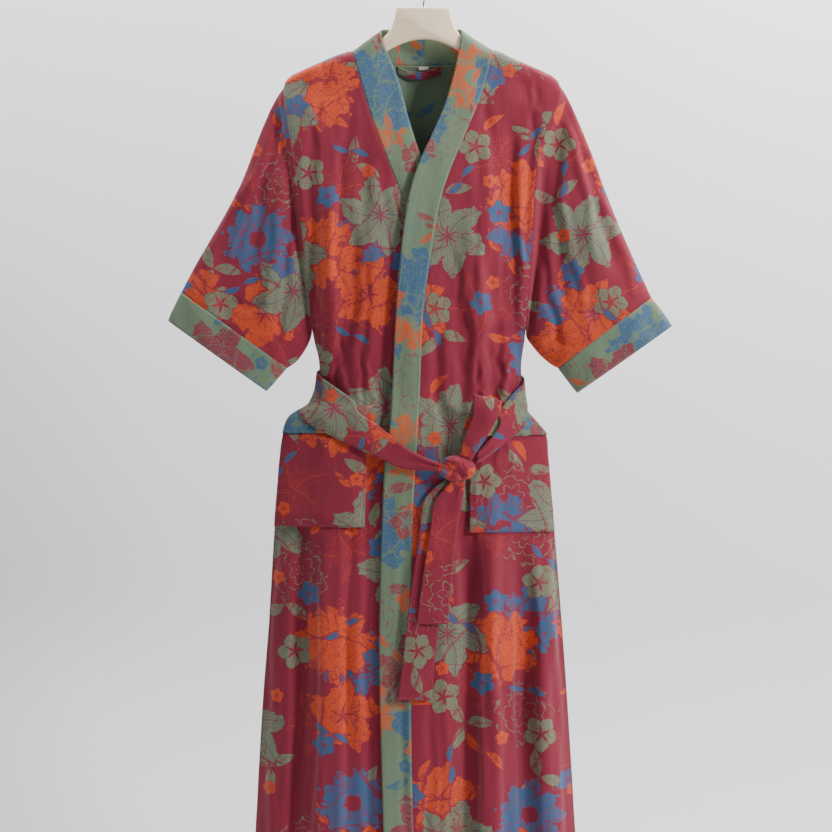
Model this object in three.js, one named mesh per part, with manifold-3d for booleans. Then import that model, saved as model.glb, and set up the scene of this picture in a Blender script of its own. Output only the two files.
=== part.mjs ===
// A kimono bathrobe with its own belt, hung on a plain wooden hanger.
//
// Millimetres, +Z up. The front looks towards -Y and +X is the viewer's right, so "left" and
// "right" are the viewer's. The origin is the inside of the hook's crest, where a rail carries it.
// Every cloth piece is a thin wall about a grid of points, and the sewn pieces share their seam
// points, half a seam gap to either side.

import * as THREE from 'three';
import { mergeVertices } from 'three/addons/utils/BufferGeometryUtils.js';
import Module from 'manifold-3d';

const wasm = await Module();
wasm.setup();

// Cloth
const CLOTH = 1.6;              // wall of the woven cotton, two layers with their air
const BELT_CLOTH = 2.0;         // the belt is sewn double
const SEAM = 0.3;               // gap between two pieces that are sewn together
const HEM_Z = -1367;            // bottom of the skirt

// Grid of the panels
const ARM_ROWS = 12;            // rows from the shoulder to the underarm
const SKIRT_ROWS = 18;          // rows from the underarm to the hem
const FRONT_COLUMNS = 15;
const SHOULDER_COLUMNS = 8;     // back panel, each shoulder
const NECK_COLUMNS = 5;         // back panel and neck band, each half of the nape
const BAND_COLUMNS = 2;         // across the neck band
const ROWS = ARM_ROWS + SKIRT_ROWS;

// Body of the robe
const ROUNDNESS = 2.2;          // how full the section is between its side seams
const FLATNESS = 0.8;           // below 1 the side seams are rounded, at 1 they are sharp
const RIDGE = 10;               // radius of the cloth over the hanger
const SHOULDER_HALF = 9;        // half depth that the hanger gives the shoulders
const SHOULDER_FADE = { from: 40, to: 160 };   // depth below the shoulder line where it dies out
const ARMHOLE_HALF = 24;        // half depth of the armhole
const UNDERLAP = 11;            // how far the lower front lies behind the upper one
const HIDDEN = { outside: -56, inside: -10, topZ: -230, fullZ: -330, calm: 0.8 };
const COLLAR_STAND = 9.5;       // how far the neck band stands in front of the hanger
const NAPE = { out: 14, fullX: 20, noneX: 110, fromDepth: 15, toDepth: 145 };   // back neck stands off
const COLUMN_CROWDING = 0.3;    // how far the columns crowd towards the side seams
const TOP_GRIP = 0.4;           // how far the back's columns keep their spacing at the top

// The shoulder tips and underarms: where the armhole starts and ends
const ARMHOLE = {
  left: { tipZ: -190, underZ: -554 },
  right: { tipZ: -186, underZ: -557 },
};

// Height of the shoulder line along the robe, level across the neck
const SHOULDER = [
  { x: -215, z: -190 },
  { x: -212, z: -181 },
  { x: -204, z: -171.5 },
  { x: -165, z: -152 },
  { x: -126, z: -136 },
  { x: -108, z: -132 },
  { x: 105, z: -131 },
  { x: 137, z: -143.5 },
  { x: 177, z: -161 },
  { x: 199, z: -173 },
  { x: 205, z: -179 },
  { x: 208, z: -186 },
];

// Outline of the robe without its sleeves: armhole, waist under the belt, skirt
const SIDE = {
  left: [
    { z: -190, x: -215 },
    { z: -233, x: -208.5 },
    { z: -313, x: -195 },
    { z: -380, x: -188.5 },
    { z: -447, x: -180.5 },
    { z: -554, x: -170 },
    { z: -612, x: -158 },
    { z: -640, x: -160.5 },
    { z: -664, x: -169 },
    { z: -682, x: -198 },
    { z: -700, x: -211 },
    { z: -782, x: -220.5 },
    { z: -853, x: -226 },
    { z: -1032, x: -237 },
    { z: -1110, x: -243.5 },
    { z: HEM_Z, x: -258 },
  ],
  right: [
    { z: -186, x: 208 },
    { z: -205, x: 203 },
    { z: -239, x: 191 },
    { z: -285, x: 175 },
    { z: -332, x: 169.5 },
    { z: -431, x: 163.5 },
    { z: -557, x: 154.5 },
    { z: -612, x: 147 },
    { z: -650, x: 149 },
    { z: -680, x: 155 },
    { z: -696, x: 177 },
    { z: -707, x: 183.5 },
    { z: -782, x: 191 },
    { z: -863, x: 198 },
    { z: -1085, x: 215 },
    { z: HEM_Z, x: 232.5 },
  ],
};

// Half depth of the robe, front to back, at the middle
const DEPTH = [
  { z: -95, half: 0 },
  { z: -134, half: 8 },
  { z: -174, half: 14 },
  { z: -242, half: 25 },
  { z: -330, half: 37 },
  { z: -450, half: 45 },
  { z: -554, half: 45 },
  { z: -640, half: 41 },
  { z: -700, half: 48 },
  { z: -853, half: 56 },
  { z: -1100, half: 64 },
  { z: HEM_Z, half: 74 },
];

// Heights of the skirt's rows, close together where the belt gathers the cloth
const SKIRT_LEVELS = [
  { row: 0, z: -556 },
  { row: 8, z: -712 },
  { row: 12, z: -880 },
  { row: SKIRT_ROWS, z: HEM_Z },
];

// Neck band down each front: its seam on the panel and its free edge
const BAND = {
  left: [
    { z: -132, seamX: -108, edgeX: -66, edgeZ: -101.5 },
    { z: -164, seamX: -99, edgeX: -58.5, edgeZ: -131.5 },
    { z: -196, seamX: -90, edgeX: -40, edgeZ: -174.5 },
    { z: -257, seamX: -70.5, edgeX: -22.5, edgeZ: -242.5 },
    { z: -311, seamX: -49.5, edgeX: -4, edgeZ: -297 },
    { z: -360, seamX: -31, edgeX: 15, edgeZ: -347.5 },
    { z: -451, seamX: -1.5, edgeX: 46.5, edgeZ: -437.5 },
    { z: -551, seamX: 19.5, edgeX: 68, edgeZ: -543 },
    { z: -695, seamX: 30, edgeX: 80, edgeZ: -693 },
    { z: -842, seamX: 36, edgeX: 86, edgeZ: -842 },
    { z: -1112, seamX: 39, edgeX: 89, edgeZ: -1112 },
    { z: HEM_Z, seamX: 42, edgeX: 92, edgeZ: HEM_Z },
  ],
  right: [
    { z: -131, seamX: 105, edgeX: 58, edgeZ: -101.5 },
    { z: -156, seamX: 98.5, edgeX: 53, edgeZ: -135 },
    { z: -186, seamX: 91.5, edgeX: 44.5, edgeZ: -174.5 },
    { z: -259, seamX: 62.5, edgeX: 22, edgeZ: -242.5 },
    { z: -316, seamX: 39, edgeX: -4, edgeZ: -297 },
    { z: -363, seamX: 24, edgeX: -21.5, edgeZ: -351.5 },
    { z: -446, seamX: 10, edgeX: -34.5, edgeZ: -443.5 },
    { z: -532, seamX: -1.5, edgeX: -41.5, edgeZ: -529.5 },
    { z: -692, seamX: -8.5, edgeX: -50, edgeZ: -692 },
    { z: -761, seamX: -13, edgeX: -58.5, edgeZ: -760 },
    { z: -866, seamX: -18, edgeX: -63, edgeZ: -866 },
    { z: -1045, seamX: -20, edgeX: -66.5, edgeZ: -1045 },
    { z: -1202, seamX: -19, edgeX: -63, edgeZ: -1202 },
    { z: HEM_Z, seamX: -13.5, edgeX: -58, edgeZ: HEM_Z },
  ],
};

// Neck band behind the neck, from the neck point (0) to the centre back (1)
const NAPE_BAND = {
  left: [
    { at: 0, seamX: -108, seamZ: -132, edgeX: -66, edgeZ: -101.5, edgeY: -1 },
    { at: 0.2, seamX: -100, seamZ: -139, edgeX: -63.5, edgeZ: -98, edgeY: 9 },
    { at: 0.45, seamX: -80, seamZ: -145, edgeX: -57, edgeZ: -96, edgeY: 18 },
    { at: 0.7, seamX: -44, seamZ: -149, edgeX: -36, edgeZ: -95.5, edgeY: 24 },
    { at: 1, seamX: 0, seamZ: -150, edgeX: 0, edgeZ: -95.5, edgeY: 27 },
  ],
  right: [
    { at: 0, seamX: 105, seamZ: -131, edgeX: 58, edgeZ: -101.5, edgeY: -1 },
    { at: 0.2, seamX: 97, seamZ: -138, edgeX: 57.5, edgeZ: -98, edgeY: 9 },
    { at: 0.45, seamX: 78, seamZ: -145, edgeX: 53, edgeZ: -96, edgeY: 18 },
    { at: 0.7, seamX: 43, seamZ: -149, edgeX: 35, edgeZ: -95.5, edgeY: 24 },
    { at: 1, seamX: 0, seamZ: -150, edgeX: 0, edgeZ: -95.5, edgeY: 27 },
  ],
};

// Large folds: centre line from top to foot, half width across, and how far each stands out
const FRONT_FOLDS = [
  { topX: -104, topZ: -250, footX: -114, footZ: -625, width: 34, rise: -5 },
  { topX: -146, topZ: -330, footX: -132, footZ: -640, width: 26, rise: 5 },
  { topX: -62, topZ: -400, footX: -84, footZ: -640, width: 26, rise: 4 },
  { topX: -76, topZ: -690, footX: -82, footZ: -1500, width: 30, rise: -7 },
  { topX: -118, topZ: -850, footX: -128, footZ: -1500, width: 34, rise: 7 },
  { topX: -166, topZ: -840, footX: -182, footZ: -1500, width: 36, rise: -8 },
  { topX: -204, topZ: -850, footX: -226, footZ: -1500, width: 26, rise: 5 },
  { topX: 130, topZ: -190, footX: 112, footZ: -640, width: 32, rise: -9 },
  { topX: 84, topZ: -220, footX: 84, footZ: -640, width: 32, rise: 7 },
  { topX: 44, topZ: -380, footX: 58, footZ: -640, width: 28, rise: -5 },
  { topX: 70, topZ: -740, footX: 66, footZ: -1500, width: 30, rise: -8 },
  { topX: 104, topZ: -850, footX: 108, footZ: -1500, width: 28, rise: 10 },
  { topX: 142, topZ: -820, footX: 150, footZ: -1500, width: 32, rise: -10 },
  { topX: 178, topZ: -850, footX: 194, footZ: -1500, width: 30, rise: 8 },
];
const BACK_FOLDS = [
  { topX: -120, topZ: -240, footX: -104, footZ: -640, width: 36, rise: -6 },
  { topX: -62, topZ: -300, footX: -58, footZ: -640, width: 34, rise: 5 },
  { topX: 6, topZ: -260, footX: -4, footZ: -640, width: 38, rise: -5 },
  { topX: 66, topZ: -320, footX: 52, footZ: -640, width: 32, rise: 6 },
  { topX: 122, topZ: -220, footX: 102, footZ: -640, width: 34, rise: -6 },
  { topX: -150, topZ: -660, footX: -196, footZ: -1500, width: 40, rise: 7 },
  { topX: -96, topZ: -640, footX: -132, footZ: -1500, width: 38, rise: -9 },
  { topX: -44, topZ: -670, footX: -62, footZ: -1500, width: 36, rise: 8 },
  { topX: 8, topZ: -640, footX: 2, footZ: -1500, width: 36, rise: -8 },
  { topX: 56, topZ: -680, footX: 64, footZ: -1500, width: 34, rise: 7 },
  { topX: 98, topZ: -640, footX: 124, footZ: -1500, width: 38, rise: -9 },
  { topX: 140, topZ: -670, footX: 178, footZ: -1500, width: 36, rise: 7 },
];
const FOLD_FADE = 0.25;         // share of a fold's length over which each end dies out
const SEAM_CALM = 0.08;         // share of the width beside a side seam without folds

// Sleeves, from the armhole (0) to the cuff seam (1): outer edge, underarm edge, half depth
const SLEEVE = {
  left: [
    { at: 0, outX: -215, outZ: -190, inX: -170, inZ: -554, half: 20 },
    { at: 0.07, outX: -224, outZ: -204, inX: -171.5, inZ: -563, half: 19 },
    { at: 0.2, outX: -246, outZ: -251, inX: -176, inZ: -576, half: 23 },
    { at: 0.42, outX: -277, outZ: -333, inX: -186, inZ: -593, half: 25 },
    { at: 0.62, outX: -308, outZ: -391, inX: -194, inZ: -603, half: 24 },
    { at: 0.82, outX: -342, outZ: -450, inX: -202, inZ: -609, half: 23 },
    { at: 1, outX: -369, outZ: -499, inX: -209, inZ: -614, half: 22 },
  ],
  right: [
    { at: 0, outX: 208, outZ: -186, inX: 154.5, inZ: -557, half: 20 },
    { at: 0.07, outX: 218, outZ: -203, inX: 157, inZ: -567, half: 18 },
    { at: 0.2, outX: 243, outZ: -259, inX: 165, inZ: -579, half: 22 },
    { at: 0.42, outX: 271, outZ: -333, inX: 176, inZ: -592, half: 25 },
    { at: 0.62, outX: 298, outZ: -401, inX: 187, inZ: -602, half: 24 },
    { at: 0.82, outX: 322, outZ: -456, inX: 196, inZ: -609, half: 23 },
    { at: 1, outX: 346, outZ: -507, inX: 204.5, inZ: -613.5, half: 22 },
  ],
};
const SLEEVE_RINGS = [0, 0.04, 0.09, 0.16, 0.28, 0.42, 0.57, 0.72, 0.87, 1];
const SLEEVE_FOLDS = {
  left: [
    { w: 0.34, width: 0.14, from: 0.15, to: 1.1, rise: -5 },
    { w: 0.62, width: 0.16, from: 0.1, to: 0.95, rise: 4 },
  ],
  right: [
    { w: 0.3, width: 0.14, from: 0.2, to: 1.1, rise: 5 },
    { w: 0.55, width: 0.16, from: 0.1, to: 1.0, rise: -5 },
  ],
};
const ARM_TUCK = { left: 0.25, right: 0.6 };   // how deep the cloth sinks beside the armhole
const TUCK_AT = 0.08;
const TUCK_WIDTH = 0.08;

// Cuffs, from their seam (0) to their opening (1)
const CUFF = {
  left: [
    { at: 0, outX: -369, outZ: -499, inX: -209, inZ: -614, half: 22 },
    { at: 1, outX: -389, outZ: -541, inX: -239.5, inZ: -648, half: 21 },
  ],
  right: [
    { at: 0, outX: 346, outZ: -507, inX: 204.5, inZ: -613.5, half: 22 },
    { at: 1, outX: 377, outZ: -549, inX: 233, inZ: -651, half: 21 },
  ],
};
const CUFF_RINGS = [0, 0.5, 1];
const SEAM_REACH = { bow: 0.35, half: 0.09 };   // how far down the sleeve the armhole's shape lasts
const FOLD_ENDS = 0.25;         // length over which a sleeve fold's ends die out

// Patch pockets
const POCKET = {
  left: { outerColumn: 0.6, innerX: -88.5, topZ: -671.5, bandZ: -712, footZ: -853 },
  right: { outerColumn: 0.6, innerX: 68, topZ: -680, bandZ: -716, footZ: -861 },
};
const POCKET_LIFT = 2.5;        // from the middle of the panel to the middle of the pocket
const POCKET_COLUMN = 4;        // the panel's column by which the pocket's heights are found
const STOP_GAP = 0.04;          // closest that a pocket's edge comes to a row of the panel

// Belt round the waist, by its turn in degrees: 0 is the left side, 180 the right side, and
// negative turns run behind. Its ends rise to the knot.
const BELT = [
  { turn: 99.85, top: -757, foot: -768, lift: 16 },
  { turn: 88, top: -738, foot: -766, lift: 9 },
  { turn: 72, top: -696, foot: -744, lift: 7 },
  { turn: 46, top: -654, foot: -708, lift: 7 },
  { turn: 20, top: -630, foot: -680, lift: 6 },
  { turn: 0, top: -620, foot: -664, lift: 5 },
  { turn: -45, top: -610, foot: -655, lift: 4.6 },
  { turn: -90, top: -604, foot: -649, lift: 4.6 },
  { turn: -135, top: -612, foot: -657, lift: 4.6 },
  { turn: -180, top: -630, foot: -670, lift: 5.4 },
  { turn: -190, top: -638, foot: -677, lift: 7 },
  { turn: -203, top: -648, foot: -686, lift: 7.4 },
  { turn: -220, top: -676, foot: -712, lift: 7 },
  { turn: -243.4, top: -744, foot: -757, lift: 13 },
];
const BELT_STEPS = 64;
const BELT_COLUMNS = 4;
const BELT_PLEAT = 2.4;         // zigzag of the cloth where the belt is drawn into the knot
const BELT_DRAWN = { narrow: 16, full: 36 };   // widths between which the zigzag dies out

// Knot, half bow and hanging ends. Out is the distance in front of the robe's own depth.
const KNOT = { x: 49, z: -765, out: 17, halfX: 28, halfZ: 20, halfY: 13 };
const KNOT_WRAPS = { count: 3, depth: 0.07, alongX: 0.8, alongZ: 0.6 };
const KNOT_SQUARE = { power: 0.3, floor: 0.9, most: 1.05 };
const BOW = [
  { at: 0, leftX: 55, leftZ: -744.6, rightX: 71, rightZ: -751, out: 20 },
  { at: 0.2, leftX: 62, leftZ: -716, rightX: 88, rightZ: -724, out: 22 },
  { at: 0.4, leftX: 74, leftZ: -682, rightX: 108, rightZ: -690, out: 22 },
  { at: 0.5, leftX: 75, leftZ: -654, rightX: 116, rightZ: -664, out: 16 },
  { at: 0.6, leftX: 70, leftZ: -676, rightX: 112, rightZ: -684, out: 10 },
  { at: 0.8, leftX: 59, leftZ: -708, rightX: 88, rightZ: -717, out: 9.5 },
  { at: 1, leftX: 53, leftZ: -740, rightX: 70, rightZ: -745, out: 10.5 },
];
const BOW_STEPS = 22;
const BOW_COLUMNS = 3;
const BOW_CROWN = { front: 2.5, back: -0.5 };   // how far the bow's two layers arch across
const TAIL = {
  front: [
    { z: -785.6, leftX: 40, rightX: 61, out: 17.2 },
    { z: -818, leftX: 15, rightX: 56, out: 13.5 },
    { z: -860, leftX: 9.5, rightX: 48, out: 13 },
    { z: -923, leftX: -1, rightX: 41.5, out: 13 },
    { z: -996, leftX: -10.5, rightX: 35.5, out: 13 },
  ],
  back: [
    { z: -784, leftX: 30, rightX: 56, out: 9 },
    { z: -812, leftX: 1, rightX: 46, out: 7.5 },
    { z: -875, leftX: -8, rightX: 37, out: 7 },
    { z: -971, leftX: -22, rightX: 24, out: 7 },
    { z: -1037, leftX: -29, rightX: 17, out: 7 },
    { z: -1109, leftX: -38.5, rightX: 10, out: 7 },
  ],
};
const TAIL_STEPS = 16;
const TAIL_COLUMNS = 4;
const TAIL_GATHER = { rise: 1.6, until: 0.35 };

// Small pieces inside the back neck
const HANGING_LOOP = { fromX: -40, toX: 25.5, endZ: -157, sag: 9, width: 11, bulge: 5 };
const LOOP_TAPE = { wall: 1.2, gap: 1.1, steps: 12 };
const LABEL = { width: 15, height: 5, topZ: -151.2, wall: 0.5, gap: 0.9 };

// Hanger
const HANGER = { thick: 13, bevel: 3.5, bevelSegments: 2, curveSegments: 5 };
// Round the board from its top left: each point, and where the edge to it is bent
const HANGER_OUTLINE = [
  { x: -42, z: -65 },
  { x: -62, z: -111, bendX: -44.9, bendZ: -99 },
  { x: -108, z: -145.3, bendX: -80, bendZ: -133 },
  { x: -126, z: -144.7 },
  { x: -145, z: -147.4 },
  { x: -165, z: -156.4 },
  { x: -180, z: -162.9 },
  { x: -195, z: -170.2 },
  { x: -205, z: -177.2 },
  { x: -193, z: -194.2, bendX: -208, bendZ: -192.2 },
  { x: -150, z: -176.6 },
  { x: -105, z: -170.3 },
  { x: -59, z: -133.5, bendX: -80, bendZ: -145 },
  { x: -1, z: -113, bendX: -26, bendZ: -113 },
  { x: 57, z: -133.5, bendX: 24, bendZ: -113 },
  { x: 103, z: -169.4, bendX: 78, bendZ: -145 },
  { x: 148, z: -179.5 },
  { x: 186, z: -195.9 },
  { x: 198, z: -177.9, bendX: 201, bendZ: -193.9 },
  { x: 178, z: -165.9 },
  { x: 163, z: -158.9 },
  { x: 143, z: -150.4 },
  { x: 124, z: -146.5 },
  { x: 106, z: -144.4 },
  { x: 60, z: -111, bendX: 76, bendZ: -133 },
  { x: 40, z: -65, bendX: 42.9, bendZ: -99 },
];
const HOOK = { wire: 2, radius: 22, stemFoot: -88, steps: 44, segments: 4 };
const HOOK_HOLE = { radius: 2.7, length: 60, segments: 12 };
const HOOK_STEM = [
  { x: 0, z: -76 },
  { x: 0, z: -64 },
  { x: 1.5, z: -52 },
  { x: 10, z: -41 },
];
const HOOK_ARC = { from: -30, to: 205, step: 23.5 };   // degrees about the middle of the hook

const COLOURS = {
  ground: { color: 0x9c3a4c, roughness: 0.9, metalness: 0 },
  reverse: { color: 0x7f9078, roughness: 0.9, metalness: 0 },
  label: { color: 0xe9e6e0, roughness: 0.8, metalness: 0 },
  beech: { color: 0xe3cba6, roughness: 0.5, metalness: 0 },
  steel: { color: 0xb9bcc0, roughness: 0.3, metalness: 1 },
};

const FRONT = -1;
const BACK = 1;
const ACROSS = new THREE.Vector3(1, 0, 0);
const DEEP = new THREE.Vector3(0, 1, 0);
const DOWN = new THREE.Vector3(0, 0, -1);

// Arithmetic on tables and shares

const clamp = (value, low, high) => Math.min(Math.max(value, low), high);
const mix = (from, to, share) => from + (to - from) * share;

function ease(from, to, value) {
  const share = clamp((value - from) / (to - from), 0, 1);
  return share * share * (3 - 2 * share);
}

function slopeAt(table, key, column, row) {
  const secant = (k) =>
    (table[k + 1][column] - table[k][column]) / (table[k + 1][key] - table[k][key]);
  if (row === 0) return secant(0);
  if (row === table.length - 1) return secant(row - 1);
  const before = secant(row - 1);
  const after = secant(row);
  return before * after > 0 ? (2 * before * after) / (before + after) : 0;
}

// A table's column at a value of its key, on a smooth curve through the rows
function read(table, key, column, value) {
  const rising = table[1][key] > table[0][key] ? 1 : -1;
  let row = 0;
  while (row < table.length - 2 && (value - table[row + 1][key]) * rising > 0) row += 1;
  const start = table[row];
  const end = table[row + 1];
  const length = end[key] - start[key];
  const share = clamp((value - start[key]) / length, 0, 1);
  const startSlope = slopeAt(table, key, column, row) * length;
  const endSlope = slopeAt(table, key, column, row + 1) * length;
  const square = share * share;
  const cube = square * share;
  return (2 * cube - 3 * square + 1) * start[column] + (cube - 2 * square + share) * startSlope
    + (3 * square - 2 * cube) * end[column] + (cube - square) * endSlope;
}

const count = (steps) => Array.from({ length: steps + 1 }, (_, k) => k);

// The robe's surface

const shoulderZ = (x) => read(SHOULDER, 'x', 'z', x);
const sideX = (side, z) => read(SIDE[side], 'z', 'x', z);

// 0 at both ends of an armhole or a sleeve ring, 1 at its middle
const arch = (share) => Math.sqrt(Math.max(0, 1 - Math.abs(2 * share - 1) ** 2.4));

function armholeHalf(side, z) {
  const { tipZ, underZ } = ARMHOLE[side];
  return ARMHOLE_HALF * arch(clamp((z - tipZ) / (underZ - tipZ), 0, 1));
}

const widthShare = (x, z) => {
  const left = sideX('left', z);
  return clamp((x - left) / (sideX('right', z) - left), 0, 1);
};

// Half depth of the open body, without the ridge at the shoulders
function openHalf(x, z) {
  const share = widthShare(x, z);
  const edge = mix(armholeHalf('left', z), armholeHalf('right', z), share);
  const round = Math.max(0, 1 - Math.abs(2 * share - 1) ** ROUNDNESS) ** FLATNESS;
  const below = shoulderZ(x) - z;
  const rest = SHOULDER_HALF * (1 - ease(SHOULDER_FADE.from, SHOULDER_FADE.to, below));
  return Math.hypot(edge + (read(DEPTH, 'z', 'half', z) - edge) * round, rest);
}

// 0 on the shoulder line, 1 where the cloth has rounded over the hanger
function ridge(x, z) {
  const below = clamp((shoulderZ(x) - z) / RIDGE, 0, 1);
  return Math.sqrt(1 - (1 - below) ** 2);
}

function foldRise(table, x, z) {
  let rise = 0;
  for (const fold of table) {
    const along = (z - fold.topZ) / (fold.footZ - fold.topZ);
    const across = (x - mix(fold.topX, fold.footX, along)) / fold.width;
    if (along <= 0 || along >= 1 || Math.abs(across) >= 1) continue;
    const fade = ease(0, FOLD_FADE, along) * ease(0, FOLD_FADE, 1 - along);
    rise += fold.rise * fade * (0.5 + 0.5 * Math.cos(Math.PI * across));
  }
  const share = widthShare(x, z);
  return rise * ease(0, SEAM_CALM, share) * ease(0, SEAM_CALM, 1 - share);
}

// Distance of the back from the plane of the side seams
function backOut(x, z) {
  const near = ease(NAPE.noneX, NAPE.fullX, Math.abs(x));
  const high = 1 - ease(NAPE.fromDepth, NAPE.toDepth, shoulderZ(x) - z);
  return (openHalf(x, z) + NAPE.out * near * high) * ridge(x, z) + foldRise(BACK_FOLDS, x, z);
}

// 1 where the lower front and its band lie behind the upper front
function hiddenShare(side, x, z) {
  if (side === 'right') return 0;
  const edgeX = read(BAND.right, 'edgeZ', 'edgeX', z);
  return ease(HIDDEN.outside, HIDDEN.inside, x - edgeX) * ease(HIDDEN.topZ, HIDDEN.fullZ, z);
}

function frontY(side, x, z) {
  const hidden = hiddenShare(side, x, z);
  const folds = foldRise(FRONT_FOLDS, x, z) * (1 - HIDDEN.calm * hidden);
  return UNDERLAP * hidden - openHalf(x, z) * ridge(x, z) - folds;
}

// Closed walls about grids of points

function gridNormals(grid, loop) {
  const rows = grid.length;
  const columns = grid[0].length;
  const wrap = (j) => (loop ? (j + columns) % columns : clamp(j, 0, columns - 1));
  return grid.map((line, i) => line.map((point, j) => {
    const alongRow = grid[i][wrap(j + 1)].clone().sub(grid[i][wrap(j - 1)]);
    const downRows = grid[Math.min(i + 1, rows - 1)][j].clone().sub(grid[Math.max(i - 1, 0)][j]);
    return alongRow.cross(downRows).normalize();
  }));
}

// The wall's thickness stays in the planes that part it from its neighbours
function keepInPlanes(normal, planes) {
  if (planes.length === 0) return normal;
  if (planes.length === 1) {
    const [plane] = planes;
    return normal.clone().addScaledVector(plane, -normal.dot(plane)).normalize();
  }
  const line = planes[0].clone().cross(planes[1]).normalize();
  return line.dot(normal) < 0 ? line.negate() : line;
}

function closedWall(outer, inner, loop) {
  const rows = outer.length;
  const columns = outer[0].length;
  const positions = [...outer, ...inner].flatMap((line) => line.flatMap((p) => [p.x, p.y, p.z]));
  const outerAt = (i, j) => i * columns + (j % columns);
  const innerAt = (i, j) => (rows + i) * columns + (j % columns);
  const faces = [];
  const quad = (a, b, c, d) => faces.push(a, b, c, a, c, d);
  const across = loop ? columns : columns - 1;
  for (let j = 0; j < across; j += 1) {
    for (let i = 0; i < rows - 1; i += 1) {
      quad(outerAt(i, j), outerAt(i, j + 1), outerAt(i + 1, j + 1), outerAt(i + 1, j));
      quad(innerAt(i, j), innerAt(i + 1, j), innerAt(i + 1, j + 1), innerAt(i, j + 1));
    }
    quad(outerAt(0, j + 1), outerAt(0, j), innerAt(0, j), innerAt(0, j + 1));
    const foot = rows - 1;
    quad(outerAt(foot, j), outerAt(foot, j + 1), innerAt(foot, j + 1), innerAt(foot, j));
  }
  const last = columns - 1;
  for (let i = 0; i < rows - 1 && !loop; i += 1) {
    quad(outerAt(i, 0), outerAt(i + 1, 0), innerAt(i + 1, 0), innerAt(i, 0));
    quad(outerAt(i + 1, last), outerAt(i, last), innerAt(i, last), innerAt(i + 1, last));
  }
  return facingOut(positions, faces);
}

function facingOut(positions, faces) {
  const corner = (k) => new THREE.Vector3().fromArray(positions, faces[k] * 3);
  let volume = 0;
  for (let k = 0; k < faces.length; k += 3) {
    volume += corner(k).dot(corner(k + 1).cross(corner(k + 2)));
  }
  const turned = volume < 0 ? faces.toReversed() : faces;
  const geometry = new THREE.BufferGeometry();
  geometry.setAttribute('position', new THREE.Float32BufferAttribute(positions, 3));
  geometry.setIndex(turned);
  return geometry;
}

// planesAt(i, j) lists the seam planes' normals at a grid point, and `loop` closes the rows
function wall(grid, thickness, { planesAt = () => [], loop = false } = {}) {
  const normals = gridNormals(grid, loop);
  const shifted = (distance) => grid.map((line, i) => line.map((point, j) => {
    const direction = keepInPlanes(normals[i][j], planesAt(i, j));
    return point.clone().addScaledVector(direction, distance);
  }));
  return closedWall(shifted(thickness / 2), shifted(-thickness / 2), loop);
}

// Rows shared by the panels, the bands and the armholes

const armShare = (row) => (1 - Math.cos((Math.PI * row) / ARM_ROWS)) / 2;

function flankZ(side, row) {
  const { tipZ, underZ } = ARMHOLE[side];
  if (row <= ARM_ROWS) return mix(tipZ, underZ, armShare(row));
  return read(SKIRT_LEVELS, 'row', 'z', row - ARM_ROWS);
}

function seamZ(side, row) {
  if (row <= ARM_ROWS) return mix(BAND[side][0].z, ARMHOLE[side].underZ, armShare(row));
  return flankZ(side, row);
}

// Unit vector out of the armhole's edge, towards the sleeve
function armholeNormal(side, z) {
  const step = 2;
  const { tipZ, underZ } = ARMHOLE[side];
  const high = Math.min(z + step, tipZ);
  const low = Math.max(z - step, underZ);
  const run = new THREE.Vector3(sideX(side, high) - sideX(side, low), 0, high - low);
  const normal = run.cross(DEEP).normalize();
  const outward = side === 'left' ? -1 : 1;
  return normal.multiplyScalar(outward * Math.sign(normal.x));
}

// Unit vector across the neck band, from its seam to its free edge
function bandDirection(side, row) {
  const z = seamZ(side, row);
  const edge = (column) => read(BAND[side], 'z', column, z);
  return new THREE.Vector3(edge('edgeX') - edge('seamX'), 0, edge('edgeZ') - z).normalize();
}

function napeDirection(side, at) {
  const value = (column) => read(NAPE_BAND[side], 'at', column, at);
  return new THREE.Vector3(value('edgeX') - value('seamX'), 0, value('edgeZ') - value('seamZ'))
    .normalize();
}

// Front panels

const columnShare = (column) => {
  const share = column / FRONT_COLUMNS;
  return mix(share, share * share, COLUMN_CROWDING);
};

function frontGrid(side) {
  return count(ROWS).map((row) => {
    const outZ = flankZ(side, row);
    const outX = sideX(side, outZ);
    const inZ = seamZ(side, row);
    const inX = read(BAND[side], 'z', 'seamX', inZ);
    const fall = Math.max(0, 1 - armShare(Math.min(row, ARM_ROWS))) ** 2;
    return count(FRONT_COLUMNS).map((column) => {
      const share = columnShare(column);
      const x = mix(outX, inX, share);
      const straight = mix(flankZ(side, 0), seamZ(side, 0), share);
      const shoulderX = mix(sideX(side, flankZ(side, 0)), BAND[side][0].seamX, share);
      const z = mix(outZ, inZ, share) + (shoulderZ(shoulderX) - straight) * fall;
      const point = new THREE.Vector3(x, Math.min(frontY(side, x, z), -SEAM / 2), z);
      if (row === 0) point.y = -SEAM / 2;
      if (column === 0 && row <= ARM_ROWS) point.addScaledVector(armholeNormal(side, outZ), -SEAM / 2);
      if (column === FRONT_COLUMNS) point.addScaledVector(bandDirection(side, row), -SEAM / 2);
      return point;
    });
  });
}

function frontPlanes(side, row, column) {
  const planes = [];
  if (column === 0 && row <= ARM_ROWS) planes.push(armholeNormal(side, flankZ(side, row)));
  if (row === 0 || (column === 0 && row >= ARM_ROWS)) planes.push(DEEP);
  if (column === FRONT_COLUMNS) planes.push(bandDirection(side, row));
  return planes;
}

const FRONT_GRID = { left: frontGrid('left'), right: frontGrid('right') };

const makeFront = (side) =>
  wall(FRONT_GRID[side], CLOTH, { planesAt: (row, column) => frontPlanes(side, row, column) });

// Back panel: its top row runs up one shoulder, round the nape and down the other shoulder

const BACK_COLUMNS = 2 * (SHOULDER_COLUMNS + NECK_COLUMNS);

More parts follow.
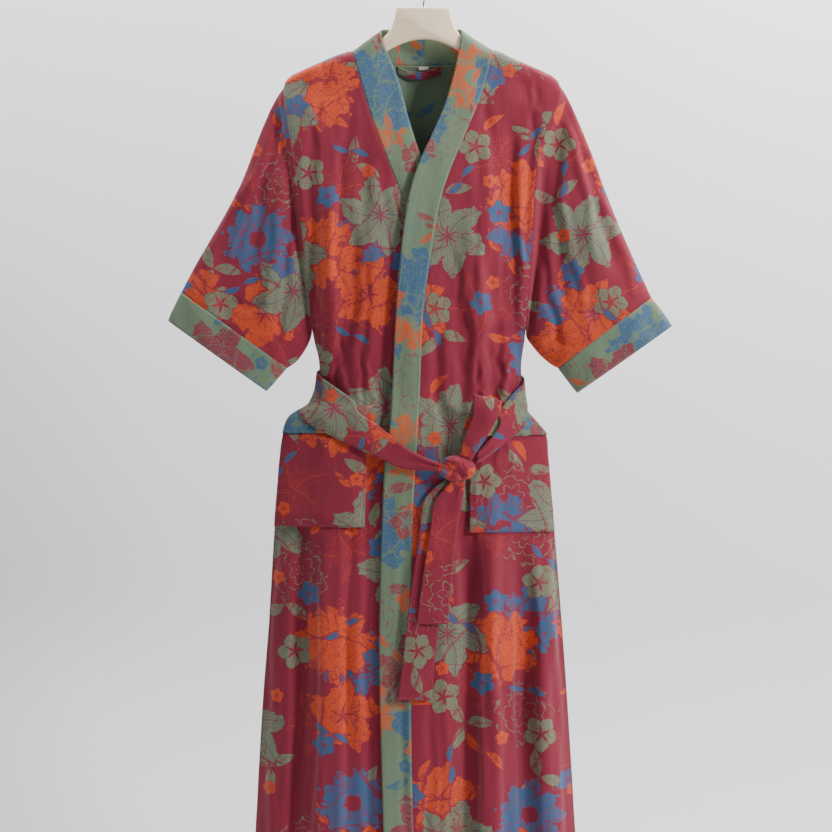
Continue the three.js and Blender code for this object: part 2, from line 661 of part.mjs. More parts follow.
function backTop(column) {
  const side = column <= BACK_COLUMNS / 2 ? 'left' : 'right';
  const fromTip = side === 'left' ? column : BACK_COLUMNS - column;
  if (fromTip <= SHOULDER_COLUMNS) {
    const share = columnShare((fromTip / SHOULDER_COLUMNS) * FRONT_COLUMNS);
    const x = mix(sideX(side, flankZ(side, 0)), BAND[side][0].seamX, share);
    return { side, x, z: shoulderZ(x), nape: fromTip === SHOULDER_COLUMNS ? 0 : null };
  }
  const nape = (fromTip - SHOULDER_COLUMNS) / NECK_COLUMNS;
  const value = (name) => read(NAPE_BAND[side], 'at', name, nape);
  return { side, x: value('seamX'), z: value('seamZ'), nape };
}

function backGrid() {
  const leftTip = sideX('left', flankZ('left', 0));
  const rightTip = sideX('right', flankZ('right', 0));
  return count(ROWS).map((row) => {
    const leftZ = flankZ('left', row);
    const rightZ = flankZ('right', row);
    const fall = Math.max(0, 1 - armShare(Math.min(row, ARM_ROWS))) ** 2;
    return count(BACK_COLUMNS).map((column) => {
      const top = backTop(column);
      const topShare = (top.x - leftTip) / (rightTip - leftTip);
      const even = column / BACK_COLUMNS;
      const share = mix(even, topShare, mix(TOP_GRIP, 1, fall));
      const x = mix(sideX('left', leftZ), sideX('right', rightZ), share);
      const straight = mix(flankZ('left', 0), flankZ('right', 0), topShare);
      const z = mix(leftZ, rightZ, share) + (top.z - straight) * fall;
      const point = new THREE.Vector3(x, Math.max(backOut(x, z), SEAM / 2), z);
      if (row === 0 && !top.nape) point.y = SEAM / 2;
      if (row === 0 && top.nape !== null) {
        point.addScaledVector(napeDirection(top.side, top.nape), -SEAM / 2);
      }
      if (column === 0 && row <= ARM_ROWS) {
        point.addScaledVector(armholeNormal('left', leftZ), -SEAM / 2);
      }
      if (column === BACK_COLUMNS && row <= ARM_ROWS) {
        point.addScaledVector(armholeNormal('right', rightZ), -SEAM / 2);
      }
      return point;
    });
  });
}

function backPlanes(row, column) {
  const planes = [];
  const side = column === 0 ? 'left' : 'right';
  const atSide = column === 0 || column === BACK_COLUMNS;
  if (atSide && row <= ARM_ROWS) planes.push(armholeNormal(side, flankZ(side, row)));
  const top = backTop(column);
  const onShoulder = row === 0 && !top.nape;
  if (onShoulder || (atSide && row >= ARM_ROWS)) planes.push(DEEP);
  if (row === 0 && top.nape !== null) planes.push(napeDirection(top.side, top.nape));
  return planes;
}

const makeBack = () => wall(backGrid(), CLOTH, { planesAt: backPlanes });

// Neck band, one half: from the centre back round the neck and down the front to the hem

function bandStations(side) {
  const nape = count(NECK_COLUMNS).slice(1).reverse().map((step) => {
    const at = step / NECK_COLUMNS;
    const value = (column) => read(NAPE_BAND[side], 'at', column, at);
    const seamX = value('seamX');
    const seam = new THREE.Vector3(seamX, backOut(seamX, value('seamZ')), value('seamZ'));
    const edge = new THREE.Vector3(value('edgeX'), value('edgeY'), value('edgeZ'));
    return { seam, edge, direction: napeDirection(side, at), centre: at === 1 };
  });
  const front = count(ROWS).map((row) => {
    const z = seamZ(side, row);
    const value = (column) => read(BAND[side], 'z', column, z);
    const seamX = value('seamX');
    const seam = new THREE.Vector3(seamX, row === 0 ? 0 : frontY(side, seamX, z), z);
    const [edgeX, edgeZ] = [value('edgeX'), value('edgeZ')];
    const standing = -COLLAR_STAND * ease(-100, -108, edgeZ);
    const edgeY = row === 0 ? -1 : Math.min(standing, frontY(side, edgeX, edgeZ));
    const edge = new THREE.Vector3(edgeX, edgeY, edgeZ);
    return { seam, edge, direction: bandDirection(side, row), centre: false };
  });
  return [...nape, ...front];
}

function makeCollar(side) {
  const stations = bandStations(side);
  const apart = side === 'left' ? -SEAM / 2 : SEAM / 2;
  const grid = stations.map(({ seam, edge, direction, centre }) =>
    count(BAND_COLUMNS).map((column) => {
      const point = seam.clone().lerp(edge, column / BAND_COLUMNS);
      if (column === 0) point.addScaledVector(direction, SEAM / 2);
      if (centre) point.x += apart;
      return point;
    }));
  const planesAt = (row, column) => {
    const planes = [];
    if (column === 0) planes.push(stations[row].direction);
    if (stations[row].centre) planes.push(ACROSS);
    return planes;
  };
  return wall(grid, CLOTH, { planesAt });
}

// Sleeves and cuffs: flat tubes of rings

function sleeveFold(side, share, at) {
  let rise = 0;
  for (const fold of SLEEVE_FOLDS[side]) {
    const across = (share - fold.w) / fold.width;
    if (Math.abs(across) >= 1) continue;
    const start = ease(fold.from, fold.from + FOLD_ENDS, at);
    const end = 1 - ease(fold.to - FOLD_ENDS, fold.to, at);
    rise += fold.rise * start * end * (0.5 + 0.5 * Math.cos(Math.PI * across));
  }
  return rise;
}

// Points round one ring: down the front wall, then back up behind
function ring(side, table, at, foldAt) {
  const value = (column) => read(table, 'at', column, at);
  const isSleeve = table === SLEEVE[side];
  const nearBody = isSleeve ? 1 - ease(0, SEAM_REACH.bow, at) : 0;
  const nearTuck = isSleeve ? Math.max(0, 1 - Math.abs(at - TUCK_AT) / TUCK_WIDTH) : 0;
  const tuck = ARM_TUCK[side] * nearTuck;
  const { tipZ, underZ } = ARMHOLE[side];
  return Array.from({ length: 2 * ARM_ROWS }, (_, k) => {
    const face = k <= ARM_ROWS ? FRONT : BACK;
    const share = armShare(face === FRONT ? k : 2 * ARM_ROWS - k);
    const seamHeight = mix(tipZ, underZ, share);
    const seamX = sideX(side, seamHeight);
    const bow = seamX - mix(sideX(side, tipZ), sideX(side, underZ), share);
    const x = mix(value('outX'), value('inX'), share) + bow * nearBody;
    const z = mix(value('outZ'), value('inZ'), share);
    const own = (value('half') * (1 - tuck) + sleeveFold(side, share, foldAt)) * arch(share);
    const atSeam = openHalf(seamX, seamHeight) * ridge(seamX, seamHeight);
    const half = isSleeve ? mix(atSeam, own, ease(0, SEAM_REACH.half, at)) : own;
    return new THREE.Vector3(x, k % ARM_ROWS === 0 ? 0 : face * half, z);
  });
}

// Unit vector along a flat tube at one of its rings, in the plane of the cloth
function alongTube(side, table, at) {
  const value = (column) => read(table, 'at', column, at);
  const line = new THREE.Vector3(value('inX') - value('outX'), 0, value('inZ') - value('outZ'));
  const normal = line.cross(DEEP).normalize();
  return normal.z > 0 ? normal.negate() : normal;
}

function makeSleeve(side) {
  const table = SLEEVE[side];
  const last = SLEEVE_RINGS.length - 1;
  const seamHeight = (k) => mix(ARMHOLE[side].tipZ, ARMHOLE[side].underZ,
    armShare(k <= ARM_ROWS ? k : 2 * ARM_ROWS - k));
  const cuffPlane = alongTube(side, table, 1);
  const grid = SLEEVE_RINGS.map((at, row) => ring(side, table, at, at).map((point, k) => {
    if (row === 0) point.addScaledVector(armholeNormal(side, seamHeight(k)), SEAM / 2);
    if (row === last) point.addScaledVector(cuffPlane, -SEAM / 2);
    return point;
  }));
  const planesAt = (row, k) => {
    if (row === 0) return [armholeNormal(side, seamHeight(k))];
    return row === last ? [cuffPlane] : [];
  };
  return wall(grid, CLOTH, { planesAt, loop: true });
}

function makeCuff(side) {
  const table = CUFF[side];
  const seamPlane = alongTube(side, SLEEVE[side], 1);
  const openPlane = alongTube(side, table, 1);
  const last = CUFF_RINGS.length - 1;
  const grid = CUFF_RINGS.map((at, row) => ring(side, table, at, 1).map((point) => {
    if (row === 0) point.addScaledVector(seamPlane, SEAM / 2);
    return point;
  }));
  const planesAt = (row) => {
    if (row === 0) return [seamPlane];
    return row === last ? [openPlane] : [];
  };
  return wall(grid, CLOTH, { planesAt, loop: true });
}

// Patch pockets, made from the front panel's own points moved out

function panelPoint(side, normals, row, column) {
  const grid = FRONT_GRID[side];
  const i = Math.min(Math.floor(row), ROWS - 1);
  const j = Math.min(Math.floor(column), FRONT_COLUMNS - 1);
  const blend = (table) => {
    const high = table[i][j].clone().lerp(table[i][j + 1], column - j);
    const low = table[i + 1][j].clone().lerp(table[i + 1][j + 1], column - j);
    return high.lerp(low, row - i);
  };
  return { point: blend(grid), normal: blend(normals).normalize() };
}

// The panel's row number at a height, or its column number at an x, as a fraction
function findStep(steps, valueAt, wanted) {
  let step = 0;
  while (step < steps - 1 && (valueAt(step + 1) - wanted) * (valueAt(0) - wanted) > 0) step += 1;
  const from = valueAt(step);
  return step + (wanted - from) / (valueAt(step + 1) - from);
}

// From one fraction to another by way of the whole numbers between them
function stops(from, to) {
  const wholes = count(ROWS).filter((step) => step > from + STOP_GAP && step < to - STOP_GAP);
  return [from, ...wholes, to];
}

function pocketWall(side, topZ, footZ, topGap, footGap) {
  const grid = FRONT_GRID[side];
  const normals = gridNormals(grid, false);
  const { outerColumn, innerX } = POCKET[side];
  const rowAt = (z) => findStep(ROWS, (row) => grid[row][POCKET_COLUMN].z, z);
  const rows = stops(rowAt(topZ - topGap), rowAt(footZ + footGap));
  const midRow = Math.round((rows[0] + rows.at(-1)) / 2);
  const innerColumn = findStep(FRONT_COLUMNS, (column) => grid[midRow][column].x, innerX);
  const columns = stops(outerColumn, innerColumn);
  const points = rows.map((row) => columns.map((column) => {
    const { point, normal } = panelPoint(side, normals, row, column);
    const out = normal.y < 0 ? normal : normal.negate();
    return point.addScaledVector(out, POCKET_LIFT);
  }));
  const planesAt = (i) => (i === 0 || i === rows.length - 1 ? [DOWN] : []);
  return wall(points, CLOTH, { planesAt });
}

function makePocket(side) {
  const { bandZ, footZ } = POCKET[side];
  return pocketWall(side, bandZ, footZ, SEAM / 2, 0);
}

function makePocketBand(side) {
  const { topZ, bandZ } = POCKET[side];
  return pocketWall(side, topZ, bandZ, 0, SEAM / 2);
}

// Belt round the waist

function sectionPoint(turn, z) {
  const angle = THREE.MathUtils.degToRad(turn);
  const left = sideX('left', z);
  const x = mix(left, sideX('right', z), (1 - Math.cos(angle)) / 2);
  const face = Math.sin(angle) >= 0 ? FRONT : BACK;
  return new THREE.Vector3(x, face * openHalf(x, z), z);
}

function beltPoint(turn, z, lift) {
  const step = 2;
  const run = sectionPoint(turn + step, z).sub(sectionPoint(turn - step, z));
  const out = run.cross(DOWN).negate().normalize();
  return sectionPoint(turn, z).addScaledVector(out, lift);
}

function makeBeltWaist() {
  const start = BELT[0].turn;
  const end = BELT.at(-1).turn;
  const grid = count(BELT_STEPS).map((step) => {
    const turn = mix(start, end, step / BELT_STEPS);
    const value = (column) => read(BELT, 'turn', column, turn);
    const width = value('top') - value('foot');
    const narrow = 1 - ease(BELT_DRAWN.narrow, BELT_DRAWN.full, width);
    return count(BELT_COLUMNS).map((column) => {
      const z = mix(value('top'), value('foot'), column / BELT_COLUMNS);
      const pleat = narrow * BELT_PLEAT * (column % 2);
      return beltPoint(turn, z, value('lift') + pleat);
    });
  });
  return wall(grid, BELT_CLOTH);
}

// Knot, half bow and the two hanging ends

function makeKnot() {
  const sphere = new THREE.SphereGeometry(1, 22, 12);
  const position = sphere.getAttribute('position');
  const y = -(openHalf(KNOT.x, KNOT.z) + KNOT.out);
  for (let k = 0; k < position.count; k += 1) {
    const unit = new THREE.Vector3().fromBufferAttribute(position, k);
    const diagonal = unit.x * KNOT_WRAPS.alongX + unit.z * KNOT_WRAPS.alongZ;
    const wave = 1 + Math.cos(diagonal * Math.PI * KNOT_WRAPS.count);
    const groove = 1 - KNOT_WRAPS.depth * wave * Math.abs(unit.y);
    const round = Math.max(KNOT_SQUARE.floor, Math.hypot(unit.x, unit.z) ** KNOT_SQUARE.power);
    const scale = groove * Math.min(1 / round, KNOT_SQUARE.most);
    position.setXYZ(k, KNOT.x + unit.x * KNOT.halfX * scale, y + unit.y * KNOT.halfY * scale,
      KNOT.z + unit.z * KNOT.halfZ * scale);
  }
  return weld(sphere);
}

function makeBow() {
  const middle = openHalf(KNOT.x, KNOT.z);
  const grid = count(BOW_STEPS).map((step) => {
    const value = (column) => read(BOW, 'at', column, step / BOW_STEPS);
    const crown = step < BOW_STEPS / 2 ? BOW_CROWN.front : BOW_CROWN.back;
    return count(BOW_COLUMNS).map((column) => {
      const share = column / BOW_COLUMNS;
      const y = -(middle + value('out') + crown * Math.sin(Math.PI * share));
      return new THREE.Vector3(mix(value('leftX'), value('rightX'), share), y,
        mix(value('leftZ'), value('rightZ'), share));
    });
  });
  return wall(grid, BELT_CLOTH);
}

function makeTail(name) {
  const table = TAIL[name];
  const grid = count(TAIL_STEPS).map((step) => {
    const z = mix(table[0].z, table.at(-1).z, step / TAIL_STEPS);
    const value = (column) => read(table, 'z', column, z);
    const gather = TAIL_GATHER.rise * (1 - ease(0, TAIL_GATHER.until, step / TAIL_STEPS));
    return count(TAIL_COLUMNS).map((column) => {
      const x = mix(value('leftX'), value('rightX'), column / TAIL_COLUMNS);
      const pleat = gather * (column % 2);
      return new THREE.Vector3(x, -(openHalf(x, z) + value('out') + pleat), z);
    });
  });
  return wall(grid, BELT_CLOTH);
}

// Small pieces inside the back neck

function makeHangingLoop() {
  const { fromX, toX, endZ, sag, width, bulge } = HANGING_LOOP;
  const seat = (CLOTH + LOOP_TAPE.wall) / 2 + LOOP_TAPE.gap;
  const grid = count(LOOP_TAPE.steps).map((step) => {
    const share = step / LOOP_TAPE.steps;
    const x = mix(fromX, toX, share);
    const middle = Math.sin(Math.PI * share);
    const z = endZ - sag * middle;
    return [0.5, -0.5].map((across) => {
      const height = z + across * width;
      return new THREE.Vector3(x, backOut(x, height) - seat - bulge * middle, height);
    });
  });
  return wall(grid, LOOP_TAPE.wall);
}

function makeLabel() {
  const plate = new THREE.BoxGeometry(LABEL.width, LABEL.wall, LABEL.height);
  const z = LABEL.topZ - LABEL.height / 2;
  plate.translate(0, backOut(0, z) - (CLOTH + LABEL.wall) / 2 - LABEL.gap, z);
  return plate;
}

// Hanger

function weld(geometry) {
  const bare = geometry.clone();
  bare.deleteAttribute('normal');
  bare.deleteAttribute('uv');
  return mergeVertices(bare, 1e-4);
}

function toSolid(geometry) {
  const welded = weld(geometry);
  return new wasm.Manifold(new wasm.Mesh({
    numProp: 3,
    vertProperties: new Float32Array(welded.getAttribute('position').array),
    triVerts: new Uint32Array(welded.getIndex().array),
  }));
}

function toGeometry(solid) {
  const mesh = solid.getMesh();
  const positions = new Float32Array(mesh.vertProperties);
  const faces = new Uint32Array(mesh.triVerts);
  const geometry = new THREE.BufferGeometry();
  geometry.setAttribute('position', new THREE.BufferAttribute(positions, 3));
  geometry.setIndex(new THREE.BufferAttribute(faces, 1));
  return geometry;
}

function hangerOutline() {
  const shape = new THREE.Shape();
  shape.moveTo(HANGER_OUTLINE[0].x, HANGER_OUTLINE[0].z);
  for (const { x, z, bendX, bendZ } of HANGER_OUTLINE.slice(1)) {
    if (bendX === undefined) shape.lineTo(x, z);
    else shape.quadraticCurveTo(bendX, bendZ, x, z);
  }
  shape.closePath();
  return shape;
}

function makeHangerWood() {
  const { thick, bevel, bevelSegments, curveSegments } = HANGER;
  const board = new THREE.ExtrudeGeometry(hangerOutline(), {
    depth: thick - 2 * bevel,
    bevelEnabled: true,
    bevelThickness: bevel,
    bevelSize: bevel,
    bevelOffset: -bevel,
    bevelSegments,
    curveSegments,
  });
  board.rotateX(Math.PI / 2);
  board.translate(0, thick / 2 - bevel, 0);
  const { radius, length, segments } = HOOK_HOLE;
  const hole = new THREE.CylinderGeometry(radius, radius, length, segments);
  hole.rotateX(Math.PI / 2);
  hole.translate(0, 0, HOOK.stemFoot - SEAM + length / 2);
  return toGeometry(toSolid(board).subtract(toSolid(hole)));
}

function hookPath() {
  const centreZ = HOOK.wire - HOOK.radius;
  const onArc = (degrees) => {
    const angle = THREE.MathUtils.degToRad(degrees);
    const rise = HOOK.radius * Math.sin(angle);
    return new THREE.Vector3(HOOK.radius * Math.cos(angle), 0, centreZ + rise);
  };
  const points = [new THREE.Vector3(0, 0, HOOK.stemFoot)];
  for (const { x, z } of HOOK_STEM) points.push(new THREE.Vector3(x, 0, z));
  for (let turn = HOOK_ARC.from; turn <= HOOK_ARC.to; turn += HOOK_ARC.step) points.push(onArc(turn));
  return new THREE.CatmullRomCurve3(points, false, 'centripetal');
}

function makeHangerHook() {
  const section = new THREE.Shape();
  section.absarc(0, 0, HOOK.wire, 0, Math.PI * 2);
  return weld(new THREE.ExtrudeGeometry(section, {
    extrudePath: hookPath(),
    steps: HOOK.steps,
    curveSegments: HOOK.segments,
    bevelEnabled: false,
  }));
}

// The whole robe

const robe = new THREE.Group();

function add(name, geometry, finish) {
  geometry.computeVertexNormals();
  const mesh = new THREE.Mesh(geometry, new THREE.MeshStandardMaterial(finish));
  mesh.name = name;
  robe.add(mesh);
}

add('back', makeBack(), COLOURS.ground);
for (const side of ['left', 'right']) {
  add(`front_${side}`, makeFront(side), COLOURS.ground);
  add(`collar_${side}`, makeCollar(side), COLOURS.reverse);
  add(`sleeve_${side}`, makeSleeve(side), COLOURS.ground);
  add(`cuff_${side}`, makeCuff(side), COLOURS.reverse);
  add(`pocket_${side}`, makePocket(side), COLOURS.ground);
  add(`pocket_band_${side}`, makePocketBand(side), COLOURS.reverse);
}
add('belt_waist', makeBeltWaist(), COLOURS.ground);
add('belt_knot', makeKnot(), COLOURS.ground);
add('belt_loop', makeBow(), COLOURS.ground);
add('belt_tail_front', makeTail('front'), COLOURS.ground);
add('belt_tail_back', makeTail('back'), COLOURS.ground);
add('hanging_loop', makeHangingLoop(), COLOURS.ground);
add('label', makeLabel(), COLOURS.label);
add('hanger_wood', makeHangerWood(), COLOURS.beech);
add('hanger_hook', makeHangerHook(), COLOURS.steel);

export default robe;
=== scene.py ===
# %% [markdown]
# # A kimono bathrobe on a wooden hanger
#
# The robe is woven with a burgundy side and a sage side. This lesson sets up a small studio and then
# dresses the plain CAD model in cloth: each sewn piece gets its own thin sheet, with creases where
# the hanger, the belt and the seams pull on it. The knot, the stitching and the hanger follow.
#
# Lengths are in metres. The front looks towards -Y, +X is the viewer's right and +Z is up.

# %% Load the frame
import math
import bmesh
import bpy
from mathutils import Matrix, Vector, noise
from mathutils.bvhtree import BVHTree
from mathutils.kdtree import KDTree


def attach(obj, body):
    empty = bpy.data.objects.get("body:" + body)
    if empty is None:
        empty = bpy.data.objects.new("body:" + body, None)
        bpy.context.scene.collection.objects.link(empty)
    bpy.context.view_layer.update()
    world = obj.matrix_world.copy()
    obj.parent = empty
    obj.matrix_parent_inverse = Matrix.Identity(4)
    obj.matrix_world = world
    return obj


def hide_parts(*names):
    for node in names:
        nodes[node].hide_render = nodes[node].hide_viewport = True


MM = 0.001
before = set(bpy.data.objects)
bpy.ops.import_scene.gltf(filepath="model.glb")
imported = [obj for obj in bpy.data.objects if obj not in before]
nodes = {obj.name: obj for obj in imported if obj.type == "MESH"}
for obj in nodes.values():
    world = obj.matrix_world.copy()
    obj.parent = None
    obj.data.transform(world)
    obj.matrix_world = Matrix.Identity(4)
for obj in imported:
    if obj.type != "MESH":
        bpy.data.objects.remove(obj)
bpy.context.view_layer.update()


# %% Objects and meshes
def as_object(name, data):
    """A new object of the scene that shows a mesh, a lamp or a camera."""
    thing = bpy.data.objects.new(name, data)
    bpy.context.scene.collection.objects.link(thing)
    return thing


def opened(mesh):
    """A mesh as a bmesh that can be worked on."""
    shape = bmesh.new()
    shape.from_mesh(mesh)
    return shape


def closed(name, shape):
    """The bmesh as a new mesh; the bmesh is gone afterwards."""
    mesh = bpy.data.meshes.new(name)
    shape.to_mesh(mesh)
    shape.free()
    return mesh


def stand_in(piece, node):
    """The piece takes the place of a CAD node."""
    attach(piece, "root")
    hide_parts(node)


# %% [markdown]
# ## Small tools for shader nodes
#
# The flowers are drawn with arithmetic: a petal is the place where one distance is smaller than
# another. A few short helpers keep such formulas readable. Each effect that both sides of the cloth
# share is one node group with named sockets.


# %% Formula helpers
def feed(socket, value):
    """Sets an input to a number or a colour, or links another node's socket to it."""
    if isinstance(value, bpy.types.NodeSocket):
        socket.id_data.links.new(value, socket)
    else:
        socket.default_value = value


def set_inputs(node, **values):
    """Feeds inputs by name, with _ for a space."""
    for label, value in values.items():
        feed(node.inputs[label.replace("_", " ")], value)


def new_node(kind, *values):
    """A node in the tree that the sockets among the values belong to."""
    sockets = [value for value in values if isinstance(value, bpy.types.NodeSocket)]
    return sockets[0].id_data.nodes.new("ShaderNode" + kind)


def calc(operation, *values):
    """One Math node."""
    node = new_node("Math", *values)
    node.operation = operation
    for socket, value in zip(node.inputs, values):
        feed(socket, value)
    return node.outputs[0]


def smooth_step(value, low, high):
    """0 below low, 1 above high, smooth between."""
    node = new_node("MapRange", value)
    node.interpolation_type = "SMOOTHSTEP"
    set_inputs(node, Value=value, From_Min=low, From_Max=high)
    return node.outputs["Result"]


def blend_colour(share, first, second):
    node = new_node("Mix", share)
    node.data_type = "RGBA"
    set_inputs(node, Factor=share, A=first, B=second)
    return node.outputs["Result"]


def noise_value(place, scale, detail=1.0):
    node = new_node("TexNoise", place)
    set_inputs(node, Vector=place, Scale=scale, Detail=detail)
    return node.outputs["Fac"]


def vector_math(operation, vector):
    """One Vector Math node with its first input fed."""
    node = new_node("VectorMath", vector)
    node.operation = operation
    feed(node.inputs[0], vector)
    return node


def stretched(place, across, along):
    node = vector_math("MULTIPLY", place)
    node.inputs[1].default_value = (across, along, 1)
    return node.outputs[0]


def scaled(vector, scale):
    node = vector_math("SCALE", vector)
    set_inputs(node, Scale=scale)
    return node.outputs[0]


def split(vector):
    """The sockets X, Y and Z of a vector."""
    node = new_node("SeparateXYZ", vector)
    feed(node.inputs[0], vector)
    return node.outputs


def joined(x, y, z=0.0):
    node = new_node("CombineXYZ", x, y, z)
    set_inputs(node, X=x, Y=y, Z=z)
    return node.outputs[0]


def bumped(height, strength, distance):
    """A normal that a height tilts."""
    node = new_node("Bump", height)
    set_inputs(node, Height=height, Strength=strength, Distance=distance)
    return node.outputs[0]


WEAVE_COLOURS = ("Ground", "Orange", "Blue", "Sage", "Violet")
SOCKET_KINDS = {"Cloth": "Vector", "Place": "Vector", "Colour": "Color"}
SOCKET_KINDS.update({name: "Color" for name in WEAVE_COLOURS})


def new_group(name, inputs, outputs):
    """A node group; sockets not in SOCKET_KINDS carry one number."""
    tree = bpy.data.node_groups.new(name, "ShaderNodeTree")
    for way, labels in (("INPUT", inputs), ("OUTPUT", outputs)):
        for label in labels:
            kind = "NodeSocket" + SOCKET_KINDS.get(label, "Float")
            tree.interface.new_socket(label, in_out=way, socket_type=kind)
    entry = tree.nodes.new("NodeGroupInput")
    leave = tree.nodes.new("NodeGroupOutput")
    return tree, entry.outputs, leave.inputs


def use_group(tree, group, **values):
    """Places a group and feeds its inputs by name."""
    node = tree.nodes.new("ShaderNodeGroup")
    node.node_tree = group
    set_inputs(node, **values)
    return node.outputs


def new_material(name, **values):
    """A material with its shader's inputs set; returns it, its node tree and the shader."""
    material = bpy.data.materials.new(name)
    material.use_nodes = True
    tree = material.node_tree
    shader = tree.nodes["Principled BSDF"]
    set_inputs(shader, **values)
    return material, tree, shader


def linear(red, green, blue):
    """A colour read off a screen, 0 to 255, as the shader's linear numbers."""
    parts = []
    for value in (red, green, blue):
        share = value / 255
        parts.append(share / 12.92 if share <= 0.04045 else ((share + 0.055) / 1.055) ** 2.4)
    return (*parts, 1.0)


# %% [markdown]
# ## The camera and the studio
#
# The photograph looks straight at the robe from a few metres away, so its verticals don't lean. A
# long lens does the same. The picture is 832 pixels square and each pixel is 1.5 mm at the robe. The
# backdrop is one sheet of pale paper that curves from the wall into the floor.

# %% Camera
VIEW_WIDTH = 1.248
VIEW_CENTRE = (-0.012, -0.6865)
VIEW_DISTANCE = 3.5
FRONT_PLANE = -0.05
SENSOR = 36.0

camera_data = bpy.data.cameras.new("camera")
camera_data.sensor_width = SENSOR
camera_data.lens = SENSOR * (VIEW_DISTANCE + FRONT_PLANE) / VIEW_WIDTH
camera = as_object("camera", camera_data)
camera.location = (VIEW_CENTRE[0], -VIEW_DISTANCE, VIEW_CENTRE[1])
camera.rotation_euler = (math.radians(90), 0, 0)
bpy.context.scene.camera = camera
print("lens in mm:", round(camera_data.lens, 1))

# %% Backdrop
PAPER = {"half_width": 4.0, "floor_z": -1.62, "wall_y": 0.75, "front_y": -4.5, "top_z": 2.2}
PAPER_CURVE = {"radius": 0.6, "steps": 12}
PAPER_COLOUR = linear(236, 236, 240)

paper = bmesh.new()
start = paper.verts.new((-PAPER["half_width"], PAPER["front_y"], PAPER["floor_z"]))
bend = paper.verts.new((-PAPER["half_width"], PAPER["wall_y"], PAPER["floor_z"]))
top = paper.verts.new((-PAPER["half_width"], PAPER["wall_y"], PAPER["top_z"]))
paper.edges.new((start, bend))
paper.edges.new((bend, top))
bmesh.ops.bevel(
    paper, geom=[bend], affect="VERTICES", offset=PAPER_CURVE["radius"],
    segments=PAPER_CURVE["steps"], profile=0.5, material=-1,
)
swept = bmesh.ops.extrude_edge_only(paper, edges=paper.edges[:])
moved = [v for v in swept["geom"] if isinstance(v, bmesh.types.BMVert)]
bmesh.ops.translate(paper, verts=moved, vec=(2 * PAPER["half_width"], 0, 0))
bmesh.ops.recalc_face_normals(paper, faces=paper.faces)
bmesh.ops.reverse_faces(paper, faces=paper.faces)
paper_mesh = closed("backdrop", paper)
paper_mesh.shade_smooth()
backdrop = as_object("backdrop", paper_mesh)

# From behind the paper is clear, so that a view of the robe's back isn't blocked
paper_look, paper_tree, paper_shader = new_material(
    "backdrop_paper", Base_Color=PAPER_COLOUR, Roughness=0.95, Specular_IOR_Level=0.1,
)
paper_behind = paper_tree.nodes.new("ShaderNodeNewGeometry").outputs["Backfacing"]
set_inputs(paper_shader, Alpha=calc("SUBTRACT", 1.0, paper_behind))
paper_mesh.materials.append(paper_look)

# %% Lights
LIGHTS = [
    # name, place, aim, size, watts
    ("window_light", (2.6, -1.75, 0.55), (0, 0, -0.7), 0.6, 100),
    ("fill_light", (-2.0, -3.0, 0.2), (0, 0, -0.75), 1.6, 4),
    ("top_light", (0.2, -0.8, 1.8), (0, 0, -0.3), 0.9, 13),
    ("wall_light_right", (0.95, 0.12, 0.95), (0.6, 0.75, -0.8), 1.1, 60),
    ("wall_light_left", (-0.95, 0.12, 0.95), (-0.6, 0.75, -0.7), 1.1, 38),
]
ROOM_LIGHT = {"Color": (0.86, 0.88, 0.93, 1), "Strength": 0.07}

for name, place, aim, size, watts in LIGHTS:
    lamp_data = bpy.data.lights.new(name, "AREA")
    lamp_data.size = size
    lamp_data.energy = watts
    lamp = as_object(name, lamp_data)
    lamp.location = place
    way = Vector(aim) - Vector(place)
    lamp.rotation_euler = way.to_track_quat("-Z", "Y").to_euler()

world = bpy.data.worlds.new("studio")
world.use_nodes = True
set_inputs(world.node_tree.nodes["Background"], **ROOM_LIGHT)
bpy.context.scene.world = world
print("lights:", len(LIGHTS))

# %% [markdown]
# ## From a CAD wall to a sheet of cloth
#
# Every cloth solid in the CAD model is a thin wall: an outer skin, an inner skin and a narrow rim
# between them. Cloth is easier to shape as one skin, so the rim is found first. Its faces have an
# edge that runs through the wall and is exactly as long as the wall is thick. What is left falls
# apart into the two skins, and the outer one is kept. The wall is given back at the end.

# %% Keep one skin of a wall
CAD_WALLS = {"belt": 2.0 * MM, "hanging": 1.2 * MM}
CAD_CLOTH = 1.6 * MM
LENGTH_SLACK = 0.02 * MM
JOINED_ANGLES = {"face": math.radians(50), "shape": math.radians(179)}


def merged_copy(node):
    """The node's loose triangles as one connected mesh of mostly four-sided faces."""
    shape = opened(nodes[node].data)
    bmesh.ops.remove_doubles(shape, verts=shape.verts, dist=LENGTH_SLACK)
    bmesh.ops.join_triangles(
        shape, faces=shape.faces, angle_face_threshold=JOINED_ANGLES["face"],
        angle_shape_threshold=JOINED_ANGLES["shape"],
    )
    return shape


def rim_faces(shape, thickness):
    """Faces with an edge that runs through the wall from one skin to the other."""
    rims = set()
    for edge in shape.edges:
        if abs(edge.calc_length() - thickness) < LENGTH_SLACK:
            rims.update(edge.link_faces)
    return rims


def skins(shape, thickness):
    """The wall's two skins as lists of faces, the larger first."""
    rims = rim_faces(shape, thickness)
    left = set(shape.faces) - rims
    found = []
    while left:
        seed = left.pop()
        skin = {seed}
        edge_of_skin = [seed]
        while edge_of_skin:
            face = edge_of_skin.pop()
            for edge in face.edges:
                for neighbour in edge.link_faces:
                    if neighbour in left:
                        left.discard(neighbour)
                        skin.add(neighbour)
                        edge_of_skin.append(neighbour)
        found.append(skin)
    found.sort(key=lambda skin: -sum(face.calc_area() for face in skin))
    return found


